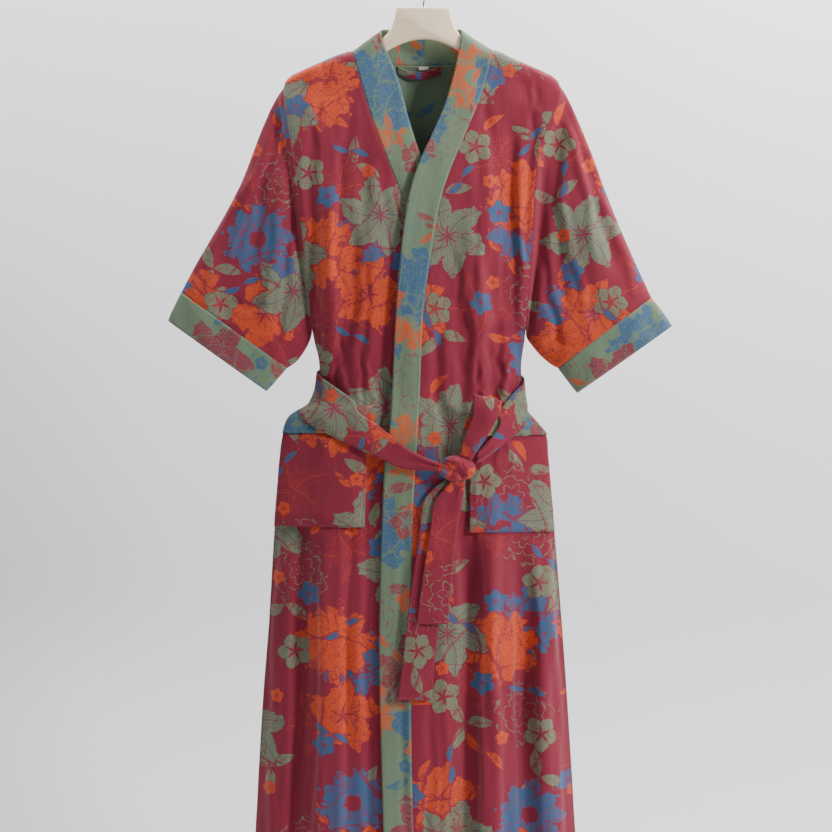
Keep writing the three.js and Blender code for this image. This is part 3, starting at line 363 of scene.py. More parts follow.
def outer_skin(node, towards=None):
    """The skin of a wall that faces `towards`, or the larger one, as an open bmesh."""
    shape = merged_copy(node)
    found = skins(shape, CAD_WALLS.get(node.split("_")[0], CAD_CLOTH))
    if len(found) < 2:
        raise ValueError(f"{node}: no two skins found")
    kept = found[0]
    if towards is not None:
        faced = [sum(f.normal.dot(towards) * f.calc_area() for f in skin) for skin in found[:2]]
        kept = found[0] if faced[0] > faced[1] else found[1]
    others = [face for face in shape.faces if face not in kept]
    bmesh.ops.delete(shape, geom=others, context="FACES")
    return shape


# %% [markdown]
# ## Rounding the sheet
#
# Subdivision rounds a coarse sheet but pulls it inside its own points, and the robe would come out
# slimmer than the CAD model. So the points are first pushed out by as much as the subdivision pulls
# them in. Two rounds of that leave the smooth sheet passing through the CAD model's points.


# %% Subdivide through the points
FITTING_ROUNDS = 2


def evaluated_mesh(piece):
    depsgraph = bpy.context.evaluated_depsgraph_get()
    return bpy.data.meshes.new_from_object(piece.evaluated_get(depsgraph))


def rounded(name, shape, levels):
    """A piece whose smooth mesh passes through the points of the coarse bmesh."""
    coarse = closed(name + "_coarse", shape)
    wanted = [vertex.co.copy() for vertex in coarse.vertices]
    cage = as_object(name + "_cage", coarse)
    smooth = cage.modifiers.new("smooth", "SUBSURF")
    smooth.levels = smooth.render_levels = 1
    smooth.boundary_smooth = "PRESERVE_CORNERS"
    for _ in range(FITTING_ROUNDS):
        bpy.context.view_layer.update()
        pulled = evaluated_mesh(cage)
        for vertex, target, there in zip(coarse.vertices, wanted, pulled.vertices):
            vertex.co += target - there.co
        coarse.update()
        bpy.data.meshes.remove(pulled)
    smooth.levels = smooth.render_levels = levels
    bpy.context.view_layer.update()
    mesh = evaluated_mesh(cage)
    mesh.name = name
    bpy.data.objects.remove(cage)
    bpy.data.meshes.remove(coarse)
    return as_object(name, mesh)


# %% [markdown]
# ## Creases
#
# Hanging cotton falls in soft vertical folds, and sharper creases run out from where it is held:
# the shoulders on the hanger, the underarms and above all the belt. They are listed in tables, one
# for each side of the robe, as lines with a width and a height. A ridge and the hollow beside it are
# two rows. The back isn't in the photograph and gets folds of the same kind. All pieces on one side
# read the same table, so a pocket moves with the panel under it.

# %% Tables of creases, in millimetres
# top_x, top_z, foot_x, foot_z, width, rise
FRONT_CREASES = [
    (126, -215, 146, -640, 11, -2.6),
    (140, -250, 155, -560, 8, 1.8),
    (108, -300, 122, -650, 9, 1.6),
    (70, -330, 88, -640, 10, -2.0),
    (92, -180, 116, -420, 9, -1.4),
    (44, -430, 60, -640, 8, -1.6),
    (150, -160, 178, -235, 8, 1.6),
    (172, -178, 164, -330, 7, -1.8),
    (-112, -190, -138, -520, 11, -2.2),
    (-150, -170, -172, -300, 9, -1.8),
    (-132, -260, -150, -620, 8, 1.7),
    (-96, -330, -104, -640, 10, 1.6),
    (-78, -420, -98, -640, 8, -1.8),
    (-60, -300, -44, -520, 9, -1.2),
    (-30, -480, -58, -650, 8, 1.4),
    (-170, -500, -150, -640, 7, 1.6),
    (-184, -380, -166, -560, 7, -1.6),
    (-74, -700, -94, -1080, 9, -2.2),
    (-110, -860, -122, -1420, 12, -2.8),
    (-92, -880, -99, -1420, 9, 2.0),
    (-146, -870, -160, -1430, 11, 2.4),
    (-176, -860, -196, -1420, 10, -2.6),
    (-212, -780, -236, -1430, 10, 2.0),
    (-84, -1010, -84, -1430, 10, -1.8),
    (56, -800, 62, -1430, 10, -2.4),
    (84, -870, 88, -1430, 11, 2.4),
    (116, -880, 122, -1420, 11, -2.8),
    (134, -900, 141, -1430, 8, 1.9),
    (158, -870, 172, -1430, 10, -2.4),
    (186, -780, 208, -1430, 10, 2.0),
    (30, -1000, 36, -1430, 9, 1.6),
    (6, -1080, 10, -1430, 9, -1.6),
]
# The deep hollows that show as dark upright bands, and the swells between them
FRONT_HOLLOWS = [
    (62, -770, 74, -1460, 17, -5.6),
    (104, -800, 112, -1460, 17, 3.2),
    (144, -840, 158, -1460, 18, -5.6),
    (184, -900, 196, -1460, 15, 3.0),
    (20, -540, 26, -720, 12, -4.0),
    (62, -500, 60, -720, 13, -4.4),
    (104, -540, 104, -700, 12, -4.0),
    (84, -250, 96, -560, 14, -3.0),
    (166, -230, 158, -580, 13, -3.8),
    (-30, -760, -26, -1460, 12, -3.0),
    (-112, -720, -106, -1460, 16, -4.4),
    (-146, -780, -152, -1460, 15, 3.0),
    (-184, -700, -196, -1460, 15, -4.4),
    (-88, -250, -104, -580, 14, -3.2),
    (-134, -300, -140, -620, 13, 2.4),
    (-166, -240, -174, -560, 13, -4.0),
]
BACK_CREASES = [
    (-150, -180, -120, -420, 12, -2.2),
    (-96, -190, -80, -400, 11, 1.8),
    (146, -178, 118, -430, 12, -2.2),
    (92, -190, 72, -410, 11, 1.6),
    (-132, -420, -110, -640, 10, -2.6),
    (-92, -400, -80, -640, 9, 2.2),
    (-34, -330, -30, -640, 10, -2.4),
    (28, -300, 24, -640, 10, 2.2),
    (92, -390, 76, -640, 9, -2.4),
    (132, -420, 112, -640, 10, 2.0),
    (-176, -720, -214, -1430, 12, -3.0),
    (-120, -680, -156, -1430, 11, 2.6),
    (-70, -690, -92, -1430, 12, -3.0),
    (-22, -700, -30, -1430, 11, 2.4),
    (32, -700, 36, -1430, 12, -2.8),
    (78, -690, 98, -1430, 11, 2.6),
    (118, -680, 150, -1430, 12, -3.0),
    (150, -760, 196, -1430, 10, 2.2),
]
SLEEVE_CREASES = {
    "left": [
        (-212, -205, -268, -470, 11, -2.6),
        (-226, -230, -300, -470, 9, 2.0),
        (-204, -290, -246, -560, 10, 2.4),
        (-192, -360, -226, -590, 9, -2.4),
        (-250, -290, -340, -500, 12, 1.8),
        (-178, -520, -300, -520, 8, -1.6),
        (-182, -560, -280, -575, 7, 1.4),
        (-270, -340, -352, -520, 8, -1.4),
    ],
    "right": [
        (196, -240, 214, -560, 12, -3.2),
        (212, -210, 268, -470, 9, 2.2),
        (204, -330, 250, -570, 10, 2.4),
        (226, -250, 300, -480, 10, -2.0),
        (178, -430, 206, -600, 9, -2.6),
        (168, -530, 280, -505, 8, 1.6),
        (176, -575, 262, -580, 7, -1.4),
        (262, -330, 330, -520, 9, 1.6),
    ],
}
# Short gathers above and below the belt: x, z at the belt, which way they run, length, slant, rise
GATHERS = [
    (-150, -636, 1, 60, 14, 1.8),
    (-132, -640, 1, 90, 6, -2.0),
    (-116, -652, 1, 70, -10, 1.7),
    (-98, -664, 1, 110, 8, -1.9),
    (-80, -678, 1, 80, -4, 1.7),
    (-62, -694, 1, 70, 12, -1.6),
    (76, -682, 1, 90, 6, -2.0),
    (92, -668, 1, 70, -8, 1.8),
    (108, -660, 1, 100, 10, -2.0),
    (124, -652, 1, 70, 4, 1.8),
    (138, -646, 1, 60, 12, -1.6),
    (-160, -676, -1, 70, -16, -1.8),
    (-140, -690, -1, 60, -6, 1.8),
    (-118, -706, -1, 80, -10, -2.0),
    (-96, -716, -1, 70, 4, 1.8),
    (-76, -730, -1, 90, -8, -2.0),
    (66, -776, -1, 110, 8, -2.2),
    (82, -760, -1, 80, -4, 1.9),
    (100, -716, -1, 70, 8, -1.9),
    (122, -704, -1, 80, 12, 1.8),
    (142, -696, -1, 60, 16, -1.6),
]
GATHER_WIDTH = 6.5


# %% How far the cloth stands out at a place
CREASE_SPREAD = 1.25
CREASE_DEPTH = 1.6
CREASE_END = 0.22
# A line sways on its way down, by millimetres and waves of its length
SWAY = (3.5, 7)
SMALL_SWAY = (2, 17)
GATHER_START = 0.35
RIPPLE = {"wide": 0.03, "tall": 0.2, "rise": 3.0}
FINE_RIPPLE = {"wide": 0.012, "tall": 0.03, "rise": 0.45}
FINE_SEED = 5


def step(low, high, value):
    share = min(max((value - low) / (high - low), 0), 1)
    return share * share * (3 - 2 * share)


def sway(size, start, along):
    return size[0] * math.sin(start + size[1] * along)


def line_rise(crease, x, z):
    """What one crease adds at a place, in millimetres."""
    top_x, top_z, foot_x, foot_z, width, rise = crease
    run = Vector((foot_x - top_x, foot_z - top_z))
    from_top = Vector((x - top_x, z - top_z))
    along = from_top.dot(run) / run.length_squared
    if along <= 0 or along >= 1:
        return 0.0
    across = (from_top.x * run.y - from_top.y * run.x) / run.length
    swayed = sway(SWAY, top_x, along) + sway(SMALL_SWAY, top_z, along)
    off = abs(across + swayed) / (CREASE_SPREAD * width)
    if off >= 1:
        return 0.0
    ends = step(0, CREASE_END, along) * step(0, CREASE_END, 1 - along)
    return CREASE_DEPTH * rise * ends * (1 - off) ** 2 * (1 + 2 * off)


def gather_creases():
    creases = []
    for x, z, way, length, slant, rise in GATHERS:
        start_z = z - way * GATHER_START * length
        creases.append((x, start_z, x + slant, z + way * length, GATHER_WIDTH, rise))
    return creases


FRONT_LINES = FRONT_CREASES + FRONT_HOLLOWS + gather_creases()


def ripple(place, shape, seed):
    spot = Vector((place.x / shape["wide"], place.z / shape["tall"], seed))
    return shape["rise"] * noise.noise(spot)


def cloth_rise(place, lines, seed):
    """Creases and ripples together, in metres."""
    x, z = place.x / MM, place.z / MM
    total = sum(line_rise(line, x, z) for line in lines)
    total += ripple(place, RIPPLE, seed) + ripple(place, FINE_RIPPLE, seed + FINE_SEED)
    return total * MM


# %% [markdown]
# ## Seams
#
# Along a seam the cloth is held: creases die out there, the edge dips a little and small puckers
# follow each other every centimetre or so. The distance to the sheet's own border tells where the
# seam is. Two sheets that are sewn together both dip, and each is tucked a little past the seam, so
# that no light comes through. Creases that would run into a neighbour, such as a pocket, the belt or
# the hanger, are held back.

# %% Shape one sheet
SEAM_CALM = 14 * MM
SEAM_DIP = 0.5
SEAM_TUCK = 0.7 * MM
SIDE_FADE = 1.6
PUCKER = {"reach": 12 * MM, "wave": 15 * MM, "rise": 0.5}
PRESSED = {"touch": 1.5 * MM, "free": 14 * MM}
BELT = ["belt_waist", "belt_knot", "belt_loop", "belt_tail_front", "belt_tail_back"]
NEIGHBOURS = {
    "back": ["hanger_wood", "label", "hanging_loop"],
    "front_left": ["hanger_wood", "pocket_left", "pocket_band_left", "collar_right", "front_right"],
    "front_right": ["hanger_wood", "pocket_right", "pocket_band_right"],
    "collar_left": ["hanger_wood", "collar_right", "front_right"],
    "collar_right": ["hanger_wood", "front_left"],
    "pocket_left": ["front_left"],
    "pocket_right": ["front_right"],
    "pocket_band_left": ["front_left"],
    "pocket_band_right": ["front_right"],
}


def border_tree(mesh):
    """A search tree of the points on the sheet's open border."""
    shape = opened(mesh)
    border = [vertex.co.copy() for vertex in shape.verts if vertex.is_boundary]
    shape.free()
    tree = KDTree(len(border))
    for index, place in enumerate(border):
        tree.insert(place, index)
    tree.balance()
    return tree


def ways_off(mesh):
    """For each border point, the way that leads off the sheet."""
    shape = opened(mesh)
    ways = {}
    for edge in shape.edges:
        if not edge.is_boundary:
            continue
        ends = [vertex.co for vertex in edge.verts]
        run = (ends[1] - ends[0]).normalized()
        off = (ends[0] + ends[1]) / 2 - edge.link_faces[0].calc_center_median()
        off = (off - run * off.dot(run)).normalized()
        for vertex in edge.verts:
            ways[vertex.index] = ways.get(vertex.index, Vector()) + off
    shape.free()
    return {index: way.normalized() for index, way in ways.items()}


def solids_tree(names):
    """One search tree of the surfaces of some CAD nodes."""
    points, faces = [], []
    for name in names:
        mesh = nodes[name].data
        first = len(points)
        points += [vertex.co.copy() for vertex in mesh.vertices]
        faces += [[first + index for index in polygon.vertices] for polygon in mesh.polygons]
    return BVHTree.FromPolygons(points, faces)


def pressed(tree, place, normal, rise):
    """The rise, held back where it would run into a neighbour."""
    nearest, _, _, distance = tree.find_nearest(place, PRESSED["free"])
    if nearest is None or rise * (nearest - place).dot(normal) < 0:
        return rise
    return rise * step(PRESSED["touch"], PRESSED["free"], distance)


def move_points(mesh, moves):
    """Moves every point at once, because a normal would change if its neighbours moved first."""
    for vertex, move in zip(mesh.vertices, moves):
        vertex.co += move
    mesh.update()
    mesh.shade_smooth()


def crease_sheet(piece, neighbours, creases, seed, pucker):
    """Moves the sheet along its normals; creases has the front's table and the back's."""
    mesh = piece.data
    beside = solids_tree(neighbours) if neighbours else None
    tree = border_tree(mesh)
    ways = ways_off(mesh)
    moves = []
    for vertex in mesh.vertices:
        place, normal = vertex.co, vertex.normal
        distance = tree.find(place)[2]
        calm = step(0, SEAM_CALM, distance)
        side = min(1.0, SIDE_FADE * abs(normal.y))
        lines = creases[0] if normal.y < 0 else creases[1]
        rise = cloth_rise(place, lines, seed) * calm * side
        if beside is not None:
            rise = pressed(beside, place, normal, rise)
        near = max(0.0, 1 - distance / PUCKER["reach"])
        wave = noise.noise(place / PUCKER["wave"] + Vector((seed, 0, 0)))
        rise += pucker * MM * (PUCKER["rise"] * wave * math.sqrt(near) - SEAM_DIP * near ** 3)
        tuck = ways[vertex.index] * SEAM_TUCK if vertex.index in ways else Vector()
        moves.append(normal * rise + tuck)
    move_points(mesh, moves)


def give_thickness(piece, thickness):
    wall = piece.modifiers.new("thickness", "SOLIDIFY")
    wall.thickness = thickness
    wall.offset = -1
    wall.material_offset = 1
    wall.material_offset_rim = 0


# %% [markdown]
# ## The pattern's own coordinates
#
# The flowers are woven in, so they follow the cloth and not the room. Each piece gets a UV map in
# metres, as if it lay flat on the cutting table. The panels map almost straight. The sleeves, the
# neck band and the belt are cut in another direction, so theirs are turned, and each piece starts
# somewhere else on the cloth.

# %% Lay the pattern on a piece
BACK_SHIFT = (0.31, 0.23)
LEAST_BACKWARD = 0.05


def lay_pattern(piece, turn, shift):
    """A UV map in metres, from the front view, turned by degrees; the far side is another stretch."""
    mesh = piece.data
    layer = mesh.uv_layers.get("cloth") or mesh.uv_layers.new(name="cloth")
    cosine, sine = math.cos(math.radians(turn)), math.sin(math.radians(turn))
    for polygon in mesh.polygons:
        behind = polygon.normal.y > LEAST_BACKWARD
        for corner in polygon.loop_indices:
            place = mesh.vertices[mesh.loops[corner].vertex_index].co
            x = -place.x if behind else place.x
            u = x * cosine + place.z * sine + shift[0]
            v = -x * sine + place.z * cosine + shift[1]
            if behind:
                u, v = u + BACK_SHIFT[0], v + BACK_SHIFT[1]
            layer.data[corner].uv = (u, v)


# %% [markdown]
# ## Scattering a flower over the cloth
#
# The cloth is divided into tall cells in a half-drop repeat: every second column sits half a cell
# lower, as on most printed and woven cottons. Each cell holds one flower, a little off its middle
# and turned by its own angle, so one small group draws flowers without end.

# %% Scatter group
scatter, given, result = new_group(
    "scatter",
    ["Cloth", "Cell width", "Cell height", "Shift u", "Shift v", "Jitter", "Size", "Seed"],
    ["Place"],
)
on_cloth = split(given["Cloth"])


def cells_along(axis, size, shift):
    """A place counted in cells along one axis of the cloth."""
    cells = calc("DIVIDE", on_cloth[axis], given[size])
    return calc("ADD", cells, given[shift])


def off_middle(place, random, size):
    """Distance from the cell's jittered middle, in metres."""
    inside = calc("SUBTRACT", calc("FRACT", place), 0.5)
    jitter = calc("MULTIPLY", calc("SUBTRACT", random, 0.5), given["Jitter"])
    return calc("MULTIPLY", calc("ADD", inside, jitter), given[size])


column_place = cells_along("X", "Cell width", "Shift u")
column = calc("FLOOR", column_place)
half_drop = calc("MULTIPLY", calc("FLOORED_MODULO", column, 2.0), 0.5)
row_place = calc("ADD", cells_along("Y", "Cell height", "Shift v"), half_drop)
row = calc("FLOOR", row_place)
chance = scatter.nodes.new("ShaderNodeTexWhiteNoise")
chance.noise_dimensions = "3D"
set_inputs(chance, Vector=joined(column, row, given["Seed"]))
dice = split(chance.outputs["Color"])
local = joined(
    off_middle(column_place, dice["X"], "Cell width"),
    off_middle(row_place, dice["Y"], "Cell height"),
)
turned = scatter.nodes.new("ShaderNodeVectorRotate")
turned.rotation_type = "Z_AXIS"
set_inputs(turned, Vector=local, Angle=calc("MULTIPLY", dice["Z"], math.tau))
per_size = calc("DIVIDE", 1.0, given["Size"])
feed(result["Place"], scaled(turned.outputs[0], per_size))
print("scatter group:", len(scatter.nodes), "nodes")

# %% [markdown]
# ## Drawing a flower
#
# Two kinds of outline make every flower and leaf on the robe. Pointed petals stand in a ring: each
# is widest in its middle and has a midrib. A ruffled bloom is a ragged disc with scalloped rings
# inside it, like a peony. A leaf pair is a ring of two petals and a sprig is a ring of three.

# %% Polar coordinates with a ragged edge
RAGGED_GRAIN = 4.5
# Each pair is where a line or an edge begins and ends; a flower is 1 from its middle to its rim
HALO = (-0.07, -0.05)
PETAL = {
    "edge": (-0.006, 0.02), "midrib": (0.04, 0.015), "midrib_strength": 0.6, "veins": 13.0,
    "vein": (0.3, 0.1), "gap_grain": 6.0, "gap": (0.42, 0.56), "heart": (0.5, 0.15),
}
BLOOM = {
    "edge": (-0.01, 0.02), "body": 0.7, "lobe": 0.22, "notches": 17.0, "notch": 0.04,
    "ring_turn": 1.3, "scallop": -0.55, "ring": (0.2, 0.06), "heart": (0.26, 0.2),
}


def ragged_polar(place, ragged):
    """Distance and angle about the flower's middle; noise makes the distance uneven."""
    on_flower = split(place)
    angle = calc("ARCTAN2", on_flower["Y"], on_flower["X"])
    length = vector_math("LENGTH", place).outputs["Value"]
    wobble = calc("SUBTRACT", noise_value(place, RAGGED_GRAIN, 2.0), 0.5)
    uneven = calc("MULTIPLY_ADD", wobble, ragged, 1.0)
    return calc("MULTIPLY", length, uneven), angle


# %% Petals group
petals, given, result = new_group(
    "petals", ["Place", "Count", "Width", "Fullness", "Swirl", "Ragged"], ["Inside", "Near", "Vein"],
)
reach, angle = ragged_polar(given["Place"], given["Ragged"])
curled = calc("MULTIPLY_ADD", reach, given["Swirl"], angle)
sector = calc("DIVIDE", calc("MULTIPLY", curled, given["Count"]), math.tau)
off_rib = calc("ABSOLUTE", calc("SUBTRACT", calc("FRACT", sector), 0.5))
arc = calc("DIVIDE", calc("MULTIPLY", off_rib, math.tau), given["Count"])
lateral = calc("MULTIPLY", arc, reach)
along_petal = calc("POWER", calc("MINIMUM", reach, 1.0), given["Fullness"])
bulge = calc("SINE", calc("MULTIPLY", along_petal, math.pi))
room = calc("SUBTRACT", calc("MULTIPLY", given["Width"], bulge), lateral)
midrib = smooth_step(lateral, *PETAL["midrib"])
midrib = calc("MULTIPLY", midrib, PETAL["midrib_strength"])
comb = calc("FRACT", calc("MULTIPLY", lateral, PETAL["veins"]))
lines = smooth_step(comb, *PETAL["vein"])
gaps = noise_value(given["Place"], PETAL["gap_grain"])
broken = smooth_step(gaps, *PETAL["gap"])
heart = smooth_step(reach, *PETAL["heart"])
drawn = calc("MULTIPLY", lines, calc("MAXIMUM", broken, heart))
feed(result["Inside"], smooth_step(room, *PETAL["edge"]))
feed(result["Near"], smooth_step(room, *HALO))
feed(result["Vein"], calc("MAXIMUM", midrib, drawn))

# %% Ruffled bloom group
ruffle, given, result = new_group(
    "ruffled_bloom", ["Place", "Lobes", "Rings", "Ragged"], ["Inside", "Near", "Vein", "Heart"],
)
reach, angle = ragged_polar(given["Place"], given["Ragged"])
half_lobes = calc("MULTIPLY", angle, calc("DIVIDE", given["Lobes"], 2.0))
lobe_wave = calc("ABSOLUTE", calc("SINE", half_lobes))
notch_wave = calc("SINE", calc("MULTIPLY", angle, BLOOM["notches"]))
edge = calc("MULTIPLY_ADD", lobe_wave, BLOOM["lobe"], BLOOM["body"])
edge = calc("MULTIPLY_ADD", notch_wave, BLOOM["notch"], edge)
room = calc("SUBTRACT", edge, reach)
ringed = calc("MULTIPLY", reach, given["Rings"])
ring_turn = calc("MULTIPLY", calc("FLOOR", ringed), BLOOM["ring_turn"])
scallop = calc("ABSOLUTE", calc("SINE", calc("ADD", half_lobes, ring_turn)))
ring_place = calc("FRACT", calc("MULTIPLY_ADD", scallop, BLOOM["scallop"], ringed))
feed(result["Inside"], smooth_step(room, *BLOOM["edge"]))
feed(result["Near"], smooth_step(room, *HALO))
feed(result["Vein"], smooth_step(ring_place, *BLOOM["ring"]))
feed(result["Heart"], smooth_step(reach, *BLOOM["heart"]))
print("flower groups:", len(petals.nodes), "and", len(ruffle.nodes), "nodes")

# %% [markdown]
# ## The woven design
#
# The design is a generic one of large blooms, lilies, leaves and buds in the robe's colours and at
# its scale, in a layout of its own. It is painted back to front: each row of the table lays one
# scattered flower over what is there and then draws its veins. The reverse of a woven cloth shows the
# same flowers in other colours, so the group takes its five colours as inputs.

# %% Table of flowers
# kind, cell width and height, shift, size, seed, petals, width or rings, fullness, swirl, ragged,
# fill, veins
FLOWERS = [
    ("petals", 0.125, 0.193, (0.10, 0.30), 0.044, 1, 3, 0.20, 1.0, 0.3, 0.15, "Sage", "Ground"),
    ("petals", 0.125, 0.154, (0.55, 0.15), 0.040, 2, 2, 0.17, 1.0, 0.6, 0.20, "Orange", "Ground"),
    ("ruffle", 0.220, 0.340, (0.32, 0.62), 0.058, 3, 7, 4.5, 0, 0, 0.60, "Ground", "Sage"),
    ("petals", 0.180, 0.277, (0.18, 0.90), 0.050, 12, 5, 0.36, 1.3, 0.5, 0.60, "Ground", "Orange"),
    ("ruffle", 0.200, 0.308, (0.05, 0.10), 0.056, 4, 9, 5.5, 0, 0, 0.95, "Blue", "Ground"),
    ("ruffle", 0.200, 0.308, (0.22, 0.24), 0.062, 5, 8, 5.0, 0, 0, 1.05, "Orange", "Ground"),
    ("petals", 0.210, 0.324, (0.85, 0.80), 0.056, 7, 5, 0.38, 1.5, 0.9, 0.70, "Orange", "Ground"),
    ("petals", 0.200, 0.308, (0.55, 0.42), 0.064, 6, 6, 0.30, 1.4, 0.5, 0.45, "Sage", "Violet"),
    ("petals", 0.160, 0.246, (0.40, 0.05), 0.027, 8, 5, 0.42, 2.0, 0.2, 0.20, "Sage", "Ground"),
    ("petals", 0.125, 0.193, (0.70, 0.72), 0.019, 9, 5, 0.40, 1.6, 0.2, 0.45, "Blue", "Violet"),
    ("petals", 0.140, 0.216, (0.30, 0.20), 0.030, 11, 2, 0.16, 1.2, 0.4, 0.20, "Blue", "Violet"),
    ("petals", 0.110, 0.169, (0.25, 0.55), 0.011, 10, 5, 0.45, 1.8, 0.2, 0.40, "Orange", "Ground"),
]
SCATTER_JITTER = 0.4
VEIN_STRENGTH = {"Ground": 0.5, "Sage": 0.8, "Violet": 0.6, "Orange": 0.55}
HALO_STRENGTH = 0.75
# How much of the ground's thread shows through the flowers, and where
GLINT = {"stretch": 0.45, "grain": 620.0, "step": (0.46, 0.66), "most": 0.45, "least": 0.25}
GLINT_PATCH = {"grain": 38.0, "step": (0.3, 0.7)}

# %% Woven design group
design, given, result = new_group("woven_design", ["Cloth", *WEAVE_COLOURS], ["Colour"])
painted = given["Ground"]
for kind, width, height, shift, size, seed, count, form, fullness, swirl, ragged, fill, veins in FLOWERS:
    spot = use_group(
        design, scatter, Cloth=given["Cloth"], Cell_width=width, Cell_height=height,
        Shift_u=shift[0], Shift_v=shift[1], Jitter=SCATTER_JITTER, Size=size, Seed=float(seed),
    )
    if kind == "petals":
        flower = use_group(
            design, petals, Place=spot["Place"], Count=float(count), Width=form,
            Fullness=fullness, Swirl=swirl, Ragged=ragged,
        )
    else:
        flower = use_group(
            design, ruffle, Place=spot["Place"], Lobes=float(count), Rings=form, Ragged=ragged,
        )
    halo = calc("MULTIPLY", flower["Near"], HALO_STRENGTH)
    painted = blend_colour(halo, painted, given["Ground"])
    painted = blend_colour(flower["Inside"], painted, given[fill])
    line = calc("MULTIPLY", flower["Inside"], flower["Vein"])
    line = calc("MULTIPLY", line, VEIN_STRENGTH[veins])
    painted = blend_colour(line, painted, given[veins])
    if kind == "ruffle" and fill == "Blue":
        painted = blend_colour(flower["Heart"], painted, given["Ground"])

# The flowers' threads cross the ground's, so the ground glints through everywhere
thread_place = stretched(given["Cloth"], 1.0, GLINT["stretch"])
glint = smooth_step(noise_value(thread_place, GLINT["grain"]), *GLINT["step"])
patchy = noise_value(given["Cloth"], GLINT_PATCH["grain"], 2.0)
patchy = smooth_step(patchy, *GLINT_PATCH["step"])
share = calc("MULTIPLY_ADD", patchy, GLINT["most"], GLINT["least"])
share = calc("MULTIPLY", glint, share)
painted = blend_colour(share, painted, given["Ground"])
feed(result["Colour"], painted)
print("woven design group:", len(design.nodes), "nodes")

# %% [markdown]
# ## Yarn
#
# The cotton is a light double gauze. Its yarn is thicker in places, which shows as fine upright
# streaks, and washing has crinkled it into tiny ripples. One group gives the streaks as a shade to
# multiply by and the ripples and threads as a height for the bump.

# %% Yarn group
YARN = {
    # what: how far it is drawn out along the thread, grain, detail
    "streak": (0.05, 520.0, 2.0), "broad": (0.2, 45.0, 2.0),
    "fleck": (1.0, 1400.0, 1.0), "crinkle": (0.16, 210.0, 2.0),
}
YARN_SHADES = {"streak": 0.34, "broad": 0.22, "fleck": 0.22}
YARN_HEIGHTS = {"fleck": 0.25, "streak": 0.3}

yarn, given, result = new_group("yarn", ["Cloth"], ["Shade", "Height"])
grains = {}
for what, (drawn_out, grain, detail) in YARN.items():
    place = stretched(given["Cloth"], 1.0, drawn_out)
    grains[what] = noise_value(place, grain, detail)
shade = 1.0
for what, strength in YARN_SHADES.items():
    off_mean = calc("SUBTRACT", grains[what], 0.5)
    shade = calc("MULTIPLY_ADD", off_mean, strength, shade)
height = grains["crinkle"]
for what, strength in YARN_HEIGHTS.items():
    height = calc("MULTIPLY_ADD", grains[what], strength, height)
feed(result["Shade"], shade)
feed(result["Height"], height)
print("yarn group:", len(yarn.nodes), "nodes")

# %% [markdown]
# ## The two sides of the cloth
#
# Both sides use the same groups. The right side has a burgundy ground and the reverse a sage one. On
# the reverse the flowers that were sage turn burgundy, and orange and blue change places. Cotton is
# matt, with a soft sheen at grazing angles.

# %% Cloth materials
CLOTH_COLOURS = {
    "cloth": {
        "Ground": linear(130, 36, 54), "Orange": linear(202, 74, 34), "Blue": linear(40, 92, 130),
        "Sage": linear(108, 124, 98), "Violet": linear(78, 44, 92),
    },
    "cloth_reverse": {
        "Ground": linear(104, 122, 98), "Orange": linear(58, 92, 128), "Blue": linear(196, 84, 42),
        "Sage": linear(138, 48, 62), "Violet": linear(62, 74, 98),
    },
}
CLOTH_BUMP = {"strength": 0.5, "distance": 0.6 * MM}


def cloth_material(name):
    material, tree, shader = new_material(
        name, Roughness=0.88, Specular_IOR_Level=0.25, Sheen_Weight=0.12, Sheen_Roughness=0.5,
    )
    pattern = tree.nodes.new("ShaderNodeUVMap")
    pattern.uv_map = "cloth"
    woven = use_group(tree, design, Cloth=pattern.outputs[0], **CLOTH_COLOURS[name])
    threads = use_group(tree, yarn, Cloth=pattern.outputs[0])
    set_inputs(
        shader, Base_Color=scaled(woven["Colour"], threads["Shade"]),
        Normal=bumped(threads["Height"], **CLOTH_BUMP),
    )
    return material


looks = {slot: cloth_material(slot) for slot in CLOTH_COLOURS}

# %% [markdown]
# ## Cutting and hanging the pieces
#
# Every sewn piece goes the same way: keep its outer skin, round it, crease it, lay the pattern on it
# and give it a wall. The bands, the belt and the hanging loop are folded double, so both their sides
# show the same side of the cloth.

# %% Pieces of cloth
FRONT_WAY = Vector((0, -1, 0))
BACK_WAY = Vector((0, 1, 0))
CLOTH_WALL = 1.3 * MM
WALLS = {"belt": 1.7 * MM, "hanging": 1.0 * MM}
CLOTH_SEED = 3.7
DOUBLED_PUCKER = 0.6
FAR_TOP, FAR_FOOT, FAR_RISE = 14, 10, -0.8
# How far the pockets' outer sides stand out from the panel, in metres
FLARES = {
    "pocket_left": -0.007, "pocket_band_left": -0.007, "pocket_right": 0.005,
    "pocket_band_right": 0.005,
}
FLARE_WIDTH = 0.05
FLARE_FORWARD = 1 / 3


def far_side(creases):
    """A sleeve's creases as they show on its other side, moved by millimetres and turned over."""
    return [
        (top_x + FAR_TOP, top_z, foot_x + FAR_FOOT, foot_z, width, FAR_RISE * rise)
        for top_x, top_z, foot_x, foot_z, width, rise in creases
    ]


def flare(piece, reach):
    """Swings the side of a pocket that is nearer the robe's edge outwards and a little forwards."""
    way = 1 if reach > 0 else -1
    outermost = max(way * vertex.co.x for vertex in piece.data.vertices)
    for vertex in piece.data.vertices:
        share = step(outermost - FLARE_WIDTH, outermost, way * vertex.co.x)
        vertex.co.x += share * reach
        vertex.co.y -= share * abs(reach) * FLARE_FORWARD
    piece.data.update()


